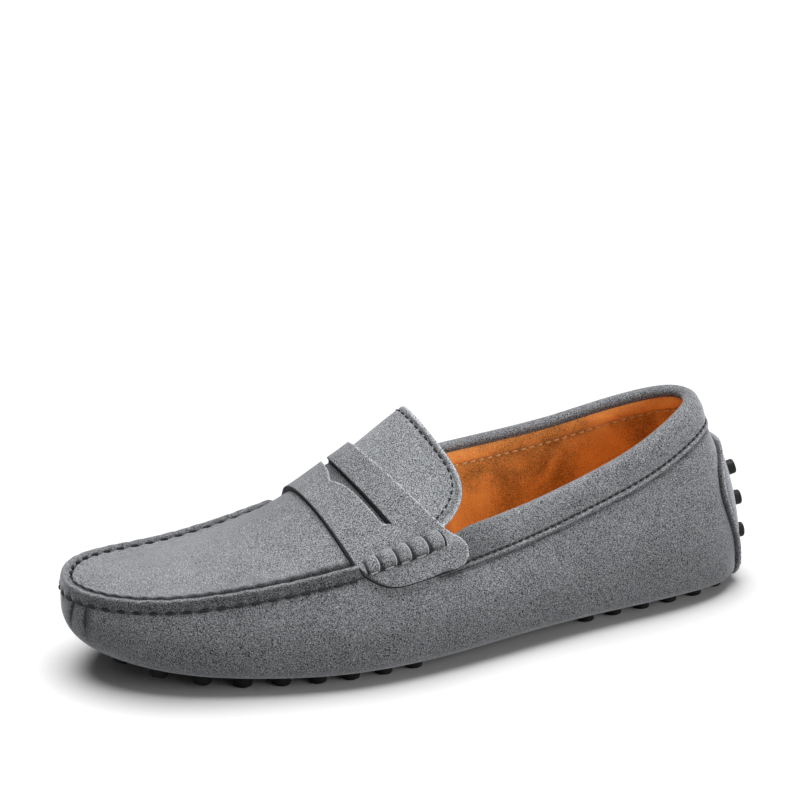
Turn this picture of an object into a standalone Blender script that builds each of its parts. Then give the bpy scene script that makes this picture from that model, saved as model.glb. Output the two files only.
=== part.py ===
"""Suede driving loafer, left shoe. +X is the toe, +Y the outer side, +Z up, the floor is z = 0.

Tables and sizes are in millimetres and every mesh is scaled to metres as it is sewn.
Surfaces are functions of two parameters; a piece is sewn from grids of points on them.
"""
import bpy
import bmesh
import numpy as np
from mathutils import Vector

MM = 0.001
ORIGIN = (135.39, 2.81, 0.0)    # middle of the object on the floor, in the table's millimetres
SEW = 1e-6             # metres, points closer than this are one point

# Last: one row a section, from the heel along the outer side to the toe and back along the inner side.
# x, y: widest point of the wall in plan; low: underside; wide: height of the widest point;
# tuck: how far the wall turns under; rim_x, rim_y, rim_z: top edge of the wall;
# stand: how upright the wall is below the rim, 0 leaning in and 1 upright.
LAST = (
    #  x      y    low  wide  tuck rim_x rim_y rim_z stand
    (-0.9,  0.0,  4.0,  8.0,  2.5,  17.8,   0.0, 76.8, 0.1),    # heel back
    (5.5,  20.0,  4.0,  8.0,  3.0,  23.3,  11.0, 75.6, 0.1),    # heel, outer
    (26.0, 31.5,  4.3,  11.0, 5.5,  42.0,  20.5, 68.6, 0.25),    # heel side, outer
    (65.0, 37.5,  4.5,  12.0, 7.0,  72.0,  27.2, 58.9, 0.3),     # quarter, outer
    (104.0, 43.5, 5.0,  12.0, 7.0, 105.0,  32.1, 51.5, 0.2),     # waist, outer
    (140.0, 50.0, 4.5,  12.0, 7.0, 139.0,  38.0, 47.5, 0.0),     # throat, outer
    (184.0, 52.0, 4.5,  13.0, 7.0, 182.0,  46.0, 44.0, 0.0),     # ball, outer
    (221.0, 43.5, 5.5,  15.0, 7.5, 220.0,  41.5, 39.5, 0.0),     # toe joint, outer
    (256.0, 27.5, 8.5,  20.0, 9.5, 257.0,  28.0, 36.5, 0.0),     # toe corner, outer
    (277.0, -3.5, 11.0, 27.5, 14.5, 275.8,  -3.5, 35.5, 0.0),    # toe tip
    (265.0, -27.5, 9.5, 25.0, 12.0, 266.0, -26.5, 35.5, 0.0),    # toe corner, inner
    (235.0, -42.0, 6.0, 20.0, 8.0, 234.0, -37.5, 34.0, 0.0),     # big toe
    (196.0, -47.0, 4.5, 18.0, 7.0, 194.0, -41.5, 38.0, 0.0),     # ball, inner
    (144.0, -41.5, 6.0, 20.0, 7.0, 144.0, -36.0, 51.3, 0.0),     # throat, inner
    (105.0, -36.0, 6.5, 20.0, 7.0, 105.0, -30.5, 58.0, 0.2),     # waist, inner
    (62.0, -34.5, 5.0,  16.0, 7.0,  67.0, -25.5, 64.0, 0.3),     # quarter, inner
    (26.0, -31.0, 4.3,  11.0, 5.5,  41.0, -19.5, 71.0, 0.25),    # heel side, inner
    (5.5, -20.0,  4.0,  8.0,  3.0,  23.3, -10.5, 76.0, 0.1),    # heel, inner
)
ROW_THROAT_OUTER, ROW_TIP, ROW_THROAT_INNER = 5, 9, 13
BULGE = 0.58           # height of the fullest part of the side, as a share of the wall

# Apron: the top of the foot, drawn by rungs from the throat (0) to the toe tip (1), the tongue below 0.
# crown: rise of the middle over the seams; bow: how far the middle leads the ends; ridge: side shift of the crest.
APRON = (
    # rung  crown  bow  ridge
    (-0.30, 41.0, 16.0, -0.20),
    (-0.15, 33.2, 17.5, -0.20),
    (0.00,  21.5, 17.0, -0.20),
    (0.10,  18.0, 12.0, -0.20),
    (0.20,  15.6,  6.0, -0.16),
    (0.35,  10.0,  2.5, -0.10),
    (0.60,  4.5,  1.5,  0.00),
    (0.85,  1.8,  0.5,  0.00),
    (1.00,  0.0,  0.0,  0.00),
)
ARCH_POWER = 2.0       # 2 is a parabola across the foot

# Suede
WALL = 2.0             # suede with its lining
SEAT = 0.3             # gap between pieces that touch
MARGIN = 1.0           # flat edge of the wall around the opening underneath
RIDGE_WIDTH = 4.0      # raised apron seam
RIDGE_HEIGHT = 2.0
RIDGE_FADE = (0.27, 0.33)     # the ridge rises from the strap's front edge between these rungs
THROAT = 0.045         # rung where the apron ends under the strap

# Strap, tongue and rolls
STRAP_THICK = 1.8
STRAP_SEAT = 0.42      # the instep is round, so its facets need more room
STRAP_BACK, STRAP_FRONT = -0.008, 0.246
STRAP_SKEW = 0.02      # how far the front edge leads on the outer side, and trails on the inner side
TAB_DROP = 9.0         # how far the tab hangs down the wall from the rim
TAB_BACK = 0.022       # how far the tab reaches behind the strap, in rungs
TAB_SLANT = 0.08       # how far the front of the tab slants back
SLOT_BACK, SLOT_SKEW = 0.084, 0.026
SLOT_HALF = 0.76       # half-length of the slot as a share of the half strap
SLOT_TIP = 0.054       # depth of the notch in rungs
SLOT_LIP = 0.023       # width of the slot beside the notch
SLOT_NOTCH = 0.3       # half-width of the notch as a share of the half slot
TONGUE_END, TONGUE_SHOULDER = -0.146, 0.015    # rungs of its end in the middle and at its sides
TONGUE_SQUARE = 9      # 2 is a round end, more is squarer
TONGUE_THICK = 2.2
TONGUE_SIDE = 0.96
ROLL_LOBES = 5
ROLL_EDGE = 1.8        # how far the roll reaches down the tab from the rim
ROLL_REACH = 6.3       # how far it reaches in over the apron
ROLL_HEIGHT = 3.0      # over the strap; all three shrink towards the toe
ROLL_TAPER = 0.45
ROLL_RIM = 0.3         # thickness at its edge
ROLL_RISE = 0.8        # rise for each step out from the rim
ROLL_SPAN_OUTER = (0.024, 0.245)
ROLL_SPAN_INNER = (0.024, 0.195)

# Collar band and heel patch
BAND_THICK = (0.8, 1.4, 1.8, 2.0, 2.0, 1.1)     # from the outer edge over the rim to the inner edge
BAND_DROP = 10.4       # outside
BAND_INSIDE = 1.2      # inside
BAND_END = -0.035      # rung where the band meets the strap tab
PATCH_THICK = 1.7
PATCH_SEAT = 0.4       # the heel is round, so its facets need more room
PATCH_LEVELS = (0.25, 0.6, 1.0, 1.17, 1.33, 1.48, 1.57, 1.65, 1.71)          # wall heights
PATCH_HALVES = (14.0, 15.0, 17.0, 22.0, 26.3, 27.0, 24.5, 18.5, 9.0)       # half widths there, along the outline

# Rubber
NUB_RADIUS = 3.5
NUB_HEIGHT = 5.5
NUB_SIDES = 8
NUB_SINK = 0.8
NUB_LEVEL = 1.0        # nubs this close to the floor are cut level with it
NUB_INSET = 4.1        # from the edge of the panel to the edge row
NUB_LEAN = 0.3         # most that a nub leans to the toe, for each millimetre down
NUB_PITCH_ACROSS = 15.3
HEEL_ROWS = (12.5, 24.5, 37.0, 50.0, 63.0, 76.0)
FORE_ROWS = (155.0, 167.5, 180.5, 193.0, 206.0, 219.5, 233.0, 246.5, 256.3)
BACK_NUB_RADIUS = 3.0
BACK_NUB_HEIGHT = 3.4
BACK_NUB_SIDES = 10
BACK_NUB_HEIGHTS = (18.2, 32.0, 45.0)          # above the floor
BACK_NUB_SIDE = 6.5                            # either side of the middle, along the outline

# Insole
INSOLE_THICK = 3.0

# Mesh density
HEEL_STEP, SIDE_STEP = 4.25, 10.0               # along the outline
HEEL_REACH = 34.0
RUNGS = 16
ACROSS = 14
TURN_STEPS, SIDE_STEPS = 3, 5
TAB_DEPTHS = (1.0, 0.93, 0.7, 0.35, 0.0)        # rows of the strap's tabs, from their ends up to the rim


def clear_scene():
    for item in list(bpy.data.objects):
        bpy.data.objects.remove(item, do_unlink=True)


def spline(knots, values, period=None):
    """Cubic through a table, natural at the ends or closed over a period; values are rows."""
    closed = period is not None
    knots = np.append(knots, period) if closed else np.asarray(knots, float)
    values = np.vstack([values, values[:1]]) if closed else np.asarray(values, float)
    count = len(knots)
    step = np.diff(knots)
    slope = np.diff(values, axis=0) / step[:, None]
    system = np.eye(count)
    right = np.zeros_like(values)
    for i in range(1, count - 1):
        system[i, i - 1:i + 2] = step[i - 1], 2 * (step[i - 1] + step[i]), step[i]
        right[i] = 6 * (slope[i] - slope[i - 1])
    if closed:
        system[0, [0, 1, -2]] = 2 * (step[-1] + step[0]), step[0], step[-1]
        right[0] = 6 * (slope[0] - slope[-1])
        system[-1, 0] = -1
    bend = np.linalg.solve(system, right)

    def curve(at):
        at = np.mod(at, period) if closed else np.asarray(at, float)
        i = np.clip(np.searchsorted(knots, at, side="right") - 1, 0, count - 2)
        width = step[i][..., None]
        left = (knots[i + 1] - at)[..., None] / width
        over = 1 - left
        cubic = (left ** 3 - left) * bend[i] + (over ** 3 - over) * bend[i + 1]
        return left * values[i] + over * values[i + 1] + cubic * width ** 2 / 6

    return curve


LAST_ROWS = np.array(LAST)
CHORDS = np.linalg.norm(np.diff(np.vstack([LAST_ROWS, LAST_ROWS[:1]])[:, :2], axis=0), axis=1)
PERIOD = CHORDS.sum()
STATIONS = np.concatenate([[0], np.cumsum(CHORDS)[:-1]])
last = spline(STATIONS, LAST_ROWS, PERIOD)
apron_table = spline([row[0] for row in APRON], [row[1:] for row in APRON])
U_TIP = STATIONS[ROW_TIP]
U_OUTER = STATIONS[ROW_THROAT_OUTER]
U_INNER = STATIONS[ROW_THROAT_INNER]


def outer_u(rung):
    return U_OUTER + np.asarray(rung) * (U_TIP - U_OUTER)


def inner_u(rung):
    return U_INNER + np.asarray(rung) * (U_TIP - U_INNER)


def unit(vectors):
    return vectors / np.maximum(np.linalg.norm(vectors, axis=-1, keepdims=True), 1e-9)


def inward(u):
    """Direction across the outline into the shoe, level with the floor."""
    ahead = last(u + 1.0)[..., :2] - last(u - 1.0)[..., :2]
    return unit(np.stack([ahead[..., 1], -ahead[..., 0], 0 * ahead[..., 0]], -1))


def wall(v, u):
    """Outer face of the wall: v -1 to 0 flat margin, 0 to 1 bottom turn, 1 to 2 side up to the rim."""
    v, u = np.broadcast_arrays(np.asarray(v, float), np.asarray(u, float))
    x, y, low, wide, tuck, rim_x, rim_y, rim_z, stand = np.moveaxis(last(u), -1, 0)
    angle = np.clip(v, 0, 1) * np.pi / 2
    inset = tuck * (1 - np.sin(angle)) + MARGIN * np.clip(-v, 0, 1)
    height = low + (wide - low) * (1 - np.cos(angle))
    under = np.stack([x, y, height], -1) + inward(u) * inset[..., None]
    t = np.clip(v - 1, 0, 1)[..., None]
    foot = np.stack([x, y, wide], -1)
    full = np.stack([x, y, wide + BULGE * (rim_z - wide)], -1)
    rim = np.stack([rim_x, rim_y, rim_z], -1)
    first, second = foot + (full - foot) * 2 / 3, rim + (full - rim) * 2 / 3
    second = second + (rim - second) * stand[..., None] * np.array([1, 1, 0])
    side = foot * (1 - t) ** 3 + 3 * first * t * (1 - t) ** 2 + 3 * second * t * t * (1 - t) + rim * t ** 3
    return np.where((v > 1)[..., None], side, under)


def wall_at_drop(drop, u):
    """Wall height v that lies a given drop below the rim, measured straight down."""
    levels = np.linspace(1, 2, 41)
    heights = wall(levels[:, None], np.atleast_1d(u)[None, :])[..., 2]
    return np.array([np.interp(h[-1] - drop, h, levels) for h in heights.T])


def seam(u):
    """Edge of the apron, inside the raised seam."""
    return wall(2.0, u) + inward(u) * RIDGE_WIDTH


def apron(rung, across):
    """Top of the foot: a chord between the seams, arched up and bowed forward; across 1 is the outer seam."""
    rung, across = np.broadcast_arrays(np.asarray(rung, float), np.asarray(across, float))
    crown, bow, ridge = np.moveaxis(apron_table(rung), -1, 0)
    side = np.where(across > ridge, 1 - ridge, 1 + ridge)
    arch = 1 - np.abs((across - ridge) / side) ** ARCH_POWER
    half = (1 + across[..., None]) / 2
    chord = seam(outer_u(rung)) * half + seam(inner_u(rung)) * (1 - half)
    return chord + np.stack([bow * arch, 0 * arch, crown * arch], -1)


def underside(along, across):
    """Bottom between the edges of the opening, from the heel (0) to the toe (1), inset by the seat gap."""
    along, across = np.broadcast_arrays(np.asarray(along, float), np.asarray(across, float))
    outer, inner = along * U_TIP, PERIOD - along * (PERIOD - U_TIP)
    half = (1 + across[..., None]) / 2
    edge_out = wall(-1.0, outer) + inward(outer) * SEAT
    edge_in = wall(-1.0, inner) + inward(inner) * SEAT
    return edge_out * half + edge_in * (1 - half)


def lift(grid, height, closed=False):
    """A grid moved along its own normals, mitred so that both faces of a fold stay the height away."""
    padded = np.concatenate([grid[-2:], grid, grid[:2]]) if closed else grid
    trim = slice(2, -2) if closed else slice(None)
    down = unit(np.cross(np.gradient(padded, axis=0), np.gradient(padded, axis=1)))[trim]
    mitre = np.ones(down.shape[:2])
    mitre[:, 1:-1] = fold_cosine(grid)
    return grid + down * (np.asarray(height) / mitre)[..., None]


def fold_cosine(grid):
    """Cosine of half the turn at each inner point of the rows of a grid."""
    before = unit(grid[:, 1:-1] - grid[:, :-2])
    after = unit(grid[:, 2:] - grid[:, 1:-1])
    turn = np.clip((before * after).sum(-1), -1, 1)
    return np.clip(np.sqrt((1 + turn) / 2), 0.6, 1)


def sew(name, grids):
    """One closed body from grids of points that share their edges."""
    mesh = bmesh.new()
    for grid in grids:
        rows = [[mesh.verts.new(Vector((point - np.array(ORIGIN)) * MM)) for point in row] for row in grid]
        for low, high in zip(rows, rows[1:]):
            for corner in zip(low, low[1:], high[1:], high):
                mesh.faces.new(corner)
    bmesh.ops.remove_doubles(mesh, verts=mesh.verts, dist=SEW)
    bmesh.ops.dissolve_degenerate(mesh, dist=SEW, edges=mesh.edges)
    bmesh.ops.recalc_face_normals(mesh, faces=mesh.faces)
    bmesh.ops.triangulate(mesh, faces=mesh.faces)
    data = bpy.data.meshes.new(name)
    mesh.to_mesh(data)
    mesh.free()
    piece = bpy.data.objects.new(name, data)
    bpy.context.collection.objects.link(piece)
    return piece


def slab(low, high):
    """Grids of a closed body between a low and a high grid of the same shape."""
    sides = [np.stack([low[:, end], high[:, end]]) for end in (0, -1)]
    ends = [np.stack([low[end], high[end]]) for end in (0, -1)]
    return [low, high] + sides + ends


def rear_columns():
    """Stations along the outline from the inner throat back around the heel to the outer throat."""
    heel = np.arange(-HEEL_REACH, HEEL_REACH + 0.1, HEEL_STEP)
    outer_end, inner_end = float(outer_u(THROAT)), float(inner_u(THROAT)) - PERIOD
    outer = np.linspace(HEEL_REACH, outer_end, round((outer_end - HEEL_REACH) / SIDE_STEP) + 1)
    inner = np.linspace(inner_end, -HEEL_REACH, round((-HEEL_REACH - inner_end) / SIDE_STEP) + 1)
    return np.concatenate([inner, heel[1:-1], outer])


REAR = rear_columns()
RUNG_ROWS = np.concatenate([np.linspace(THROAT, RIDGE_FADE[0], 5), np.linspace(RIDGE_FADE[0], 1, RUNGS - 4)[1:]])
ACROSS_ROWS = np.sin(np.linspace(-1, 1, ACROSS + 1) * np.pi / 2 * 0.72) / np.sin(np.pi / 2 * 0.72)
LEVELS = np.concatenate([[-1], np.linspace(0, 1, TURN_STEPS + 1), np.linspace(1, 2, SIDE_STEPS + 1)[1:]])


def ridge_height(rung):
    """Seam ridge, full at the toe and gone under the strap."""
    start, end = RIDGE_FADE
    share = np.clip((rung - start) / (end - start), 0, 1)
    return RIDGE_HEIGHT * share * share * (3 - 2 * share)


def build_upper():
    """Hollow wall and apron: outer and inner faces with rims at the collar, the throat and underneath."""
    front_u = np.concatenate([outer_u(RUNG_ROWS), inner_u(RUNG_ROWS)[-2::-1]])
    front_rung = np.concatenate([RUNG_ROWS, RUNG_ROWS[-2::-1]])
    columns = np.concatenate([REAR, front_u[1:-1]])
    front = np.arange(len(REAR) - 1, len(columns) + 1) % len(columns)
    outside = wall(LEVELS[None, :], columns[:, None])
    rung = np.concatenate([0 * REAR, front_rung[1:-1]])
    drop = 0.08 * ridge_height(rung) / RIDGE_HEIGHT
    inner_levels = LEVELS[None, :] - drop[:, None] * np.clip(LEVELS - 1, 0, 1)[None, :]
    base = wall(inner_levels, columns[:, None])
    inside = lift(base, WALL, closed=True)

    top = apron(RUNG_ROWS[:, None], ACROSS_ROWS[None, :])
    top[-1] = seam(np.array(U_TIP))
    bottom = lift(top, -WALL)
    bottom[-1] = top[-1] - np.array([0, 0, WALL])
    edge_top = np.concatenate([top[:, -1], top[-2::-1, 0]])
    edge_bottom = np.concatenate([bottom[:, -1], bottom[-2::-1, 0]])

    turn = np.linspace(0, np.pi, 5)
    share = ((1 - np.cos(turn)) / 2)[None, :, None]
    rise = np.sin(turn)[None, :, None] * ridge_height(front_rung)[:, None, None] * np.array([0, 0, 1])
    ridge = outside[front, -1][:, None] * (1 - share) + edge_top[:, None] * share + rise
    under = inside[front, -1][:, None] * (1 - share) + edge_bottom[:, None] * share

    loop = np.arange(len(columns) + 1) % len(columns)
    collar = np.arange(len(REAR))
    across = [np.concatenate([side[0, :-1], face[0, ::-1], side[-1, -2::-1]])
              for side, face in ((ridge, top), (under, bottom))]
    return sew("upper", [
        outside[loop], inside[loop], ridge, under, top, bottom,
        np.stack([outside[loop, 0], inside[loop, 0]]),
        np.stack([outside[collar, -1], inside[collar, -1]]),
        np.stack(across),
    ])


def build_tongue():
    """Flap that carries the apron on behind the throat, square at its free end with round corners."""
    corner = TONGUE_SIDE * np.array([0.9, 0.97, 1.0])
    across = np.concatenate([-corner[::-1], ACROSS_ROWS[np.abs(ACROSS_ROWS) < corner[0]], corner])
    share = np.linspace(0, 1, 8)[:, None]
    square = (np.abs(across / TONGUE_SIDE) ** TONGUE_SQUARE)[None, :]
    end = TONGUE_END * (1 - square) + TONGUE_SHOULDER * square
    rung = (THROAT - 0.003) * (1 - share) + end * share
    high = apron(rung, across[None, :])
    return sew("tongue", slab(lift(high, TONGUE_THICK), high))


def strap_row(across, drop, rung):
    """Points of the strap's seat along one row: on the wall a drop below the rim, or on the apron."""
    if drop is None:
        return apron(rung, across)
    u = outer_u(rung) if across > 0 else inner_u(rung)
    return wall(wall_at_drop(drop, u), u)


def build_strap():
    """Band over the apron with a tab down each side and a slot cut through."""
    drops = [TAB_DROP * depth for depth in TAB_DEPTHS]
    path = [(1.0, drop) for drop in drops] + [(across, None) for across in ACROSS_ROWS[::-1]]
    path += [(-1.0, drop) for drop in drops[::-1]]
    rows = []
    for across, drop in path:
        depth = (drop or 0.0) / TAB_DROP
        corner = np.sqrt(max(0.0, 1 - depth ** 6))
        back = STRAP_BACK - TAB_BACK * np.clip(depth * 3, 0, 1)
        front = STRAP_FRONT + STRAP_SKEW * across - TAB_SLANT * depth
        middle, half = (back + front) / 2, (front - back) / 2 * (0.62 + 0.38 * corner)
        rows.append(strap_row(across, drop, np.linspace(middle - half, middle + half, 6)))
    base = np.array(rows)
    side = np.swapaxes(base, 0, 1)
    low, high = (lift(side, height) for height in (-STRAP_SEAT, -STRAP_SEAT - STRAP_THICK))
    strap = sew("strap", slab(low, high))

    place = np.linspace(-1, 1, 21)
    back = SLOT_BACK + SLOT_SKEW * SLOT_HALF * place
    lip = SLOT_LIP * np.sqrt(np.clip(1 - np.abs(place) ** 6, 0, 1)) + 0.0004
    notch = (SLOT_TIP - SLOT_LIP) * np.clip(1 - np.abs(place) / SLOT_NOTCH, 0, 1)
    share = np.linspace(0, 1, 3)[:, None]
    rung = back[None, :] * (1 - share) + (back + lip + notch)[None, :] * share
    face = apron(rung, SLOT_HALF * place[None, :])
    cutter = sew("slot_cutter", slab(lift(face, -1.0), lift(face, 6.0)))
    cut(strap, cutter, "DIFFERENCE")
    return strap


def cut(piece, tool, operation):
    """Boolean of two pieces, applied; the tool is removed."""
    change = piece.modifiers.new(tool.name, "BOOLEAN")
    change.operation = operation
    change.solver = "EXACT"
    change.object = tool
    bpy.context.view_layer.update()
    result = bpy.data.meshes.new_from_object(piece.evaluated_get(bpy.context.evaluated_depsgraph_get()))
    piece.modifiers.clear()
    piece.data = result
    piece.data.name = piece.name
    bpy.data.objects.remove(tool, do_unlink=True)


def build_roll(name, side, span):
    """Gathered roll on the fold of the strap: a low dome of lobes from the tab over the rim to the apron."""
    share = np.linspace(0, 1, ROLL_LOBES * 4 + 1)
    rung = span[0] + share * (span[1] - span[0])
    u = outer_u(rung) if side > 0 else inner_u(rung)
    path = [(side, TAB_DROP * depth) for depth in TAB_DEPTHS[-3:]]
    path += [(side * across, None) for across in ACROSS_ROWS[:-4:-1]]
    fold = np.stack([strap_row(across, drop, rung) for across, drop in path], 1)
    seat = lift(fold, -side * (STRAP_SEAT + STRAP_THICK + SEAT))[:, 1:-1]

    small = 1 - ROLL_TAPER * share ** 2
    tab_step, rim_step, apron_step = np.linalg.norm(np.diff(fold[:, 1:-1], axis=1), axis=-1).T
    tab, rim, edge, top = np.moveaxis(seat, 1, 0)
    start = rim + (tab - rim) * (ROLL_EDGE / tab_step)[:, None]
    end = edge + (top - edge) * (np.maximum(ROLL_REACH * small - rim_step, ROLL_RIM) / apron_step)[:, None]
    base = np.stack([start, rim, (rim + edge) / 2, edge, end], 1)
    run = np.cumsum(np.linalg.norm(np.diff(base, axis=1), axis=-1), axis=1)
    place = np.concatenate([0 * run[:, :1], run / run[:, -1:]], 1)

    lobe = 0.5 + 0.5 * np.sqrt(np.abs(np.sin(np.pi * ROLL_LOBES * share)))
    dome = np.sqrt(np.clip(1 - (2 * place - 1) ** 2, 0, 1))
    rise = ROLL_RIM + ROLL_HEIGHT * (small * lobe)[:, None] * dome
    out = unit(np.array([0, 0, ROLL_RISE]) - inward(u))
    return sew(name, slab(base, base + out[:, None] * rise[..., None]))


def build_collar_band():
    """Binding folded over the topline, from one strap tab round the heel to the other."""
    ends = float(inner_u(BAND_END)) - PERIOD, float(outer_u(BAND_END))
    u = np.concatenate([[ends[0]], REAR[(REAR > ends[0] + 2) & (REAR < ends[1] - 2)], [ends[1]]])
    outside = [wall(wall_at_drop(BAND_DROP * share, u), u) for share in (1, 0.55, 0.15)]
    rim = wall(2.0, u)
    inner_rim = lift(wall(np.linspace(1.7, 2, 4)[None, :], u[:, None]), WALL)[:, -1]
    inner_leg = inner_rim - np.array([0, 0, BAND_INSIDE])
    base = np.stack(outside + [rim, inner_rim, inner_leg], 1)
    return sew("collar_band", slab(lift(base, -SEAT), lift(base, -SEAT - np.array(BAND_THICK))))


def build_heel_patch():
    """Patch up the back of the heel, widest in its upper half and round at the top."""
    place = np.linspace(-1, 1, 11)
    base = wall(np.array(PATCH_LEVELS)[None, :], np.array(PATCH_HALVES)[None, :] * place[:, None])
    return sew("heel_patch", slab(lift(base, -PATCH_SEAT), lift(base, -PATCH_SEAT - PATCH_THICK)))


def peg(base, axis, radius, height, sides, sink):
    """Rings of a plain peg from below its base to a flat end."""
    axis = unit(np.asarray(axis, float))
    side = unit(np.cross(axis, [0.3, 1.0, 0.2]))
    other = np.cross(axis, side)
    turn = np.linspace(0, 2 * np.pi, sides + 1)[:, None]
    ring = radius * (np.cos(turn) * side + np.sin(turn) * other)
    foot, end = base - axis * sink, base + axis * height
    return np.stack([foot + 0 * ring, foot + ring, end + ring, end + 0 * ring])


def build_back_nubs():
    """Rubber nubs on the heel patch, two columns of three."""
    lift_off = PATCH_SEAT + PATCH_THICK + SEAT
    levels = np.linspace(0.2, 1.9, 120)
    number = 0
    for height in BACK_NUB_HEIGHTS:
        for side in (1, -1):
            number += 1
            u = BACK_NUB_SIDE * side
            level = np.interp(height, wall(levels, u)[:, 2], levels)
            spot = wall(level, u)
            axis = unit(np.cross(wall(level + 0.02, u) - spot, wall(level, u + 0.5) - spot))
            foot = spot + axis * lift_off
            sew("heel_nub_%d" % number, [peg(foot, axis, BACK_NUB_RADIUS, BACK_NUB_HEIGHT, BACK_NUB_SIDES, 0.0)])


def nub_row(along):
    """Ends of a row of nubs across the underside, a nub's inset from the edges of the panel."""
    outer, inner = along * U_TIP, PERIOD - along * (PERIOD - U_TIP)
    return [wall(-1.0, u) + inward(u) * (SEAT + NUB_INSET) for u in (np.asarray(outer), np.asarray(inner))]


def build_sole():
    """Rubber panel in the opening underneath with its nubs; nubs over the flat end on the floor."""
    along = (1 - np.cos(np.linspace(0, np.pi, 31))) / 2
    across = np.linspace(-1, 1, 5)
    low = underside(along[:, None], across[None, :])
    high = low + np.array([0, 0, WALL])
    panel = sew("sole", slab(low, high))
    stations = np.linspace(0.02, 0.98, 200)
    outer_x = np.array([nub_row(s)[0][0] for s in stations])
    pegs = []
    for x in HEEL_ROWS + FORE_ROWS:
        station = np.interp(x, outer_x, stations)
        start, end = nub_row(station)
        rise = sum(nub_row(station + 0.02)) - sum(nub_row(station - 0.02))
        count = round(np.linalg.norm(end - start) / NUB_PITCH_ACROSS) + 1
        for share in np.linspace(0, 1, count) if count > 1 else [0.5]:
            spot = start * (1 - share) + end * share
            axis, reach = np.array([min(rise[2] / rise[0], NUB_LEAN), 0, -1.0]), NUB_HEIGHT
            if spot[2] < NUB_HEIGHT + NUB_LEVEL:
                axis, reach = np.array([0, 0, -1.0]), spot[2]
            pegs.append(peg(spot, axis, NUB_RADIUS, reach, NUB_SIDES, NUB_SINK))
    cut(panel, sew("nub_cutter", pegs), "UNION")
    return panel


def build_insole():
    """Sock that lies in the upper from the bottom turn on one side to the other."""
    along = (1 - np.cos(np.linspace(0.06, np.pi - 0.09, 29))) / 2
    across = np.linspace(-1, 1, 7)
    outer, inner = along * U_TIP, PERIOD - along * (PERIOD - U_TIP)
    faces = []
    for level, rise in ((0.12, 0.0), (0.62, INSOLE_THICK)):
        edges = []
        for u in (outer, inner):
            edges.append(wall(level, u) + inward(u) * (WALL + 3.0))
        half = ((1 + across) / 2)[None, :, None]
        face = edges[0][:, None] * half + edges[1][:, None] * (1 - half)
        floor = last(outer)[:, None, 2] * half[..., 0] + last(inner)[:, None, 2] * (1 - half[..., 0])
        face[..., 2] = floor + WALL + 2 * SEAT + rise
        faces.append(face)
    return sew("insole", slab(*faces))


clear_scene()
build_upper()
build_tongue()
build_strap()
build_roll("roll_outer", 1, ROLL_SPAN_OUTER)
build_roll("roll_inner", -1, ROLL_SPAN_INNER)
build_collar_band()
build_heel_patch()
build_back_nubs()
build_sole()
build_insole()
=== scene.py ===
import bmesh
import bpy
import numpy as np
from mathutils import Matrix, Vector


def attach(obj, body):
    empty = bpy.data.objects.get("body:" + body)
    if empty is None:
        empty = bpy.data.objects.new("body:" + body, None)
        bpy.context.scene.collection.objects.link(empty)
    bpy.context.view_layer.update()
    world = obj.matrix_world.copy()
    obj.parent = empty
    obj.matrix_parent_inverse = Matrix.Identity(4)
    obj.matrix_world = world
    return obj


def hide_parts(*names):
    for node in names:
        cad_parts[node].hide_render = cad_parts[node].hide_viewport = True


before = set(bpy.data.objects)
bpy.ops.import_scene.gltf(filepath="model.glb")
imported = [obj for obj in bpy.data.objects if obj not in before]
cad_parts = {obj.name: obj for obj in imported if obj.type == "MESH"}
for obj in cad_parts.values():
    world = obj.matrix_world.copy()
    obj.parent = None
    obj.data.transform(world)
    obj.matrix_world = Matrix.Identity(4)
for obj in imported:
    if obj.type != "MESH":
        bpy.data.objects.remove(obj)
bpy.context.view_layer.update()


# Upper wall: one strip of grey suede, drawn over the last round the whole foot and turned under it.
# Its top edge is gathered into the apron seam in front and bound by the collar behind the strap.
# It is cut with the flesh side out, so it has a short soft nap and no shine.
MM = 0.001
ORIGIN = np.array([135.39, 2.81, 0.0])      # middle of the shoe on the floor, in the last's millimetres
UP = np.array([0.0, 0.0, 1.0])
SEW = 1e-6                                  # metres, points closer than this are one point
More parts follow.
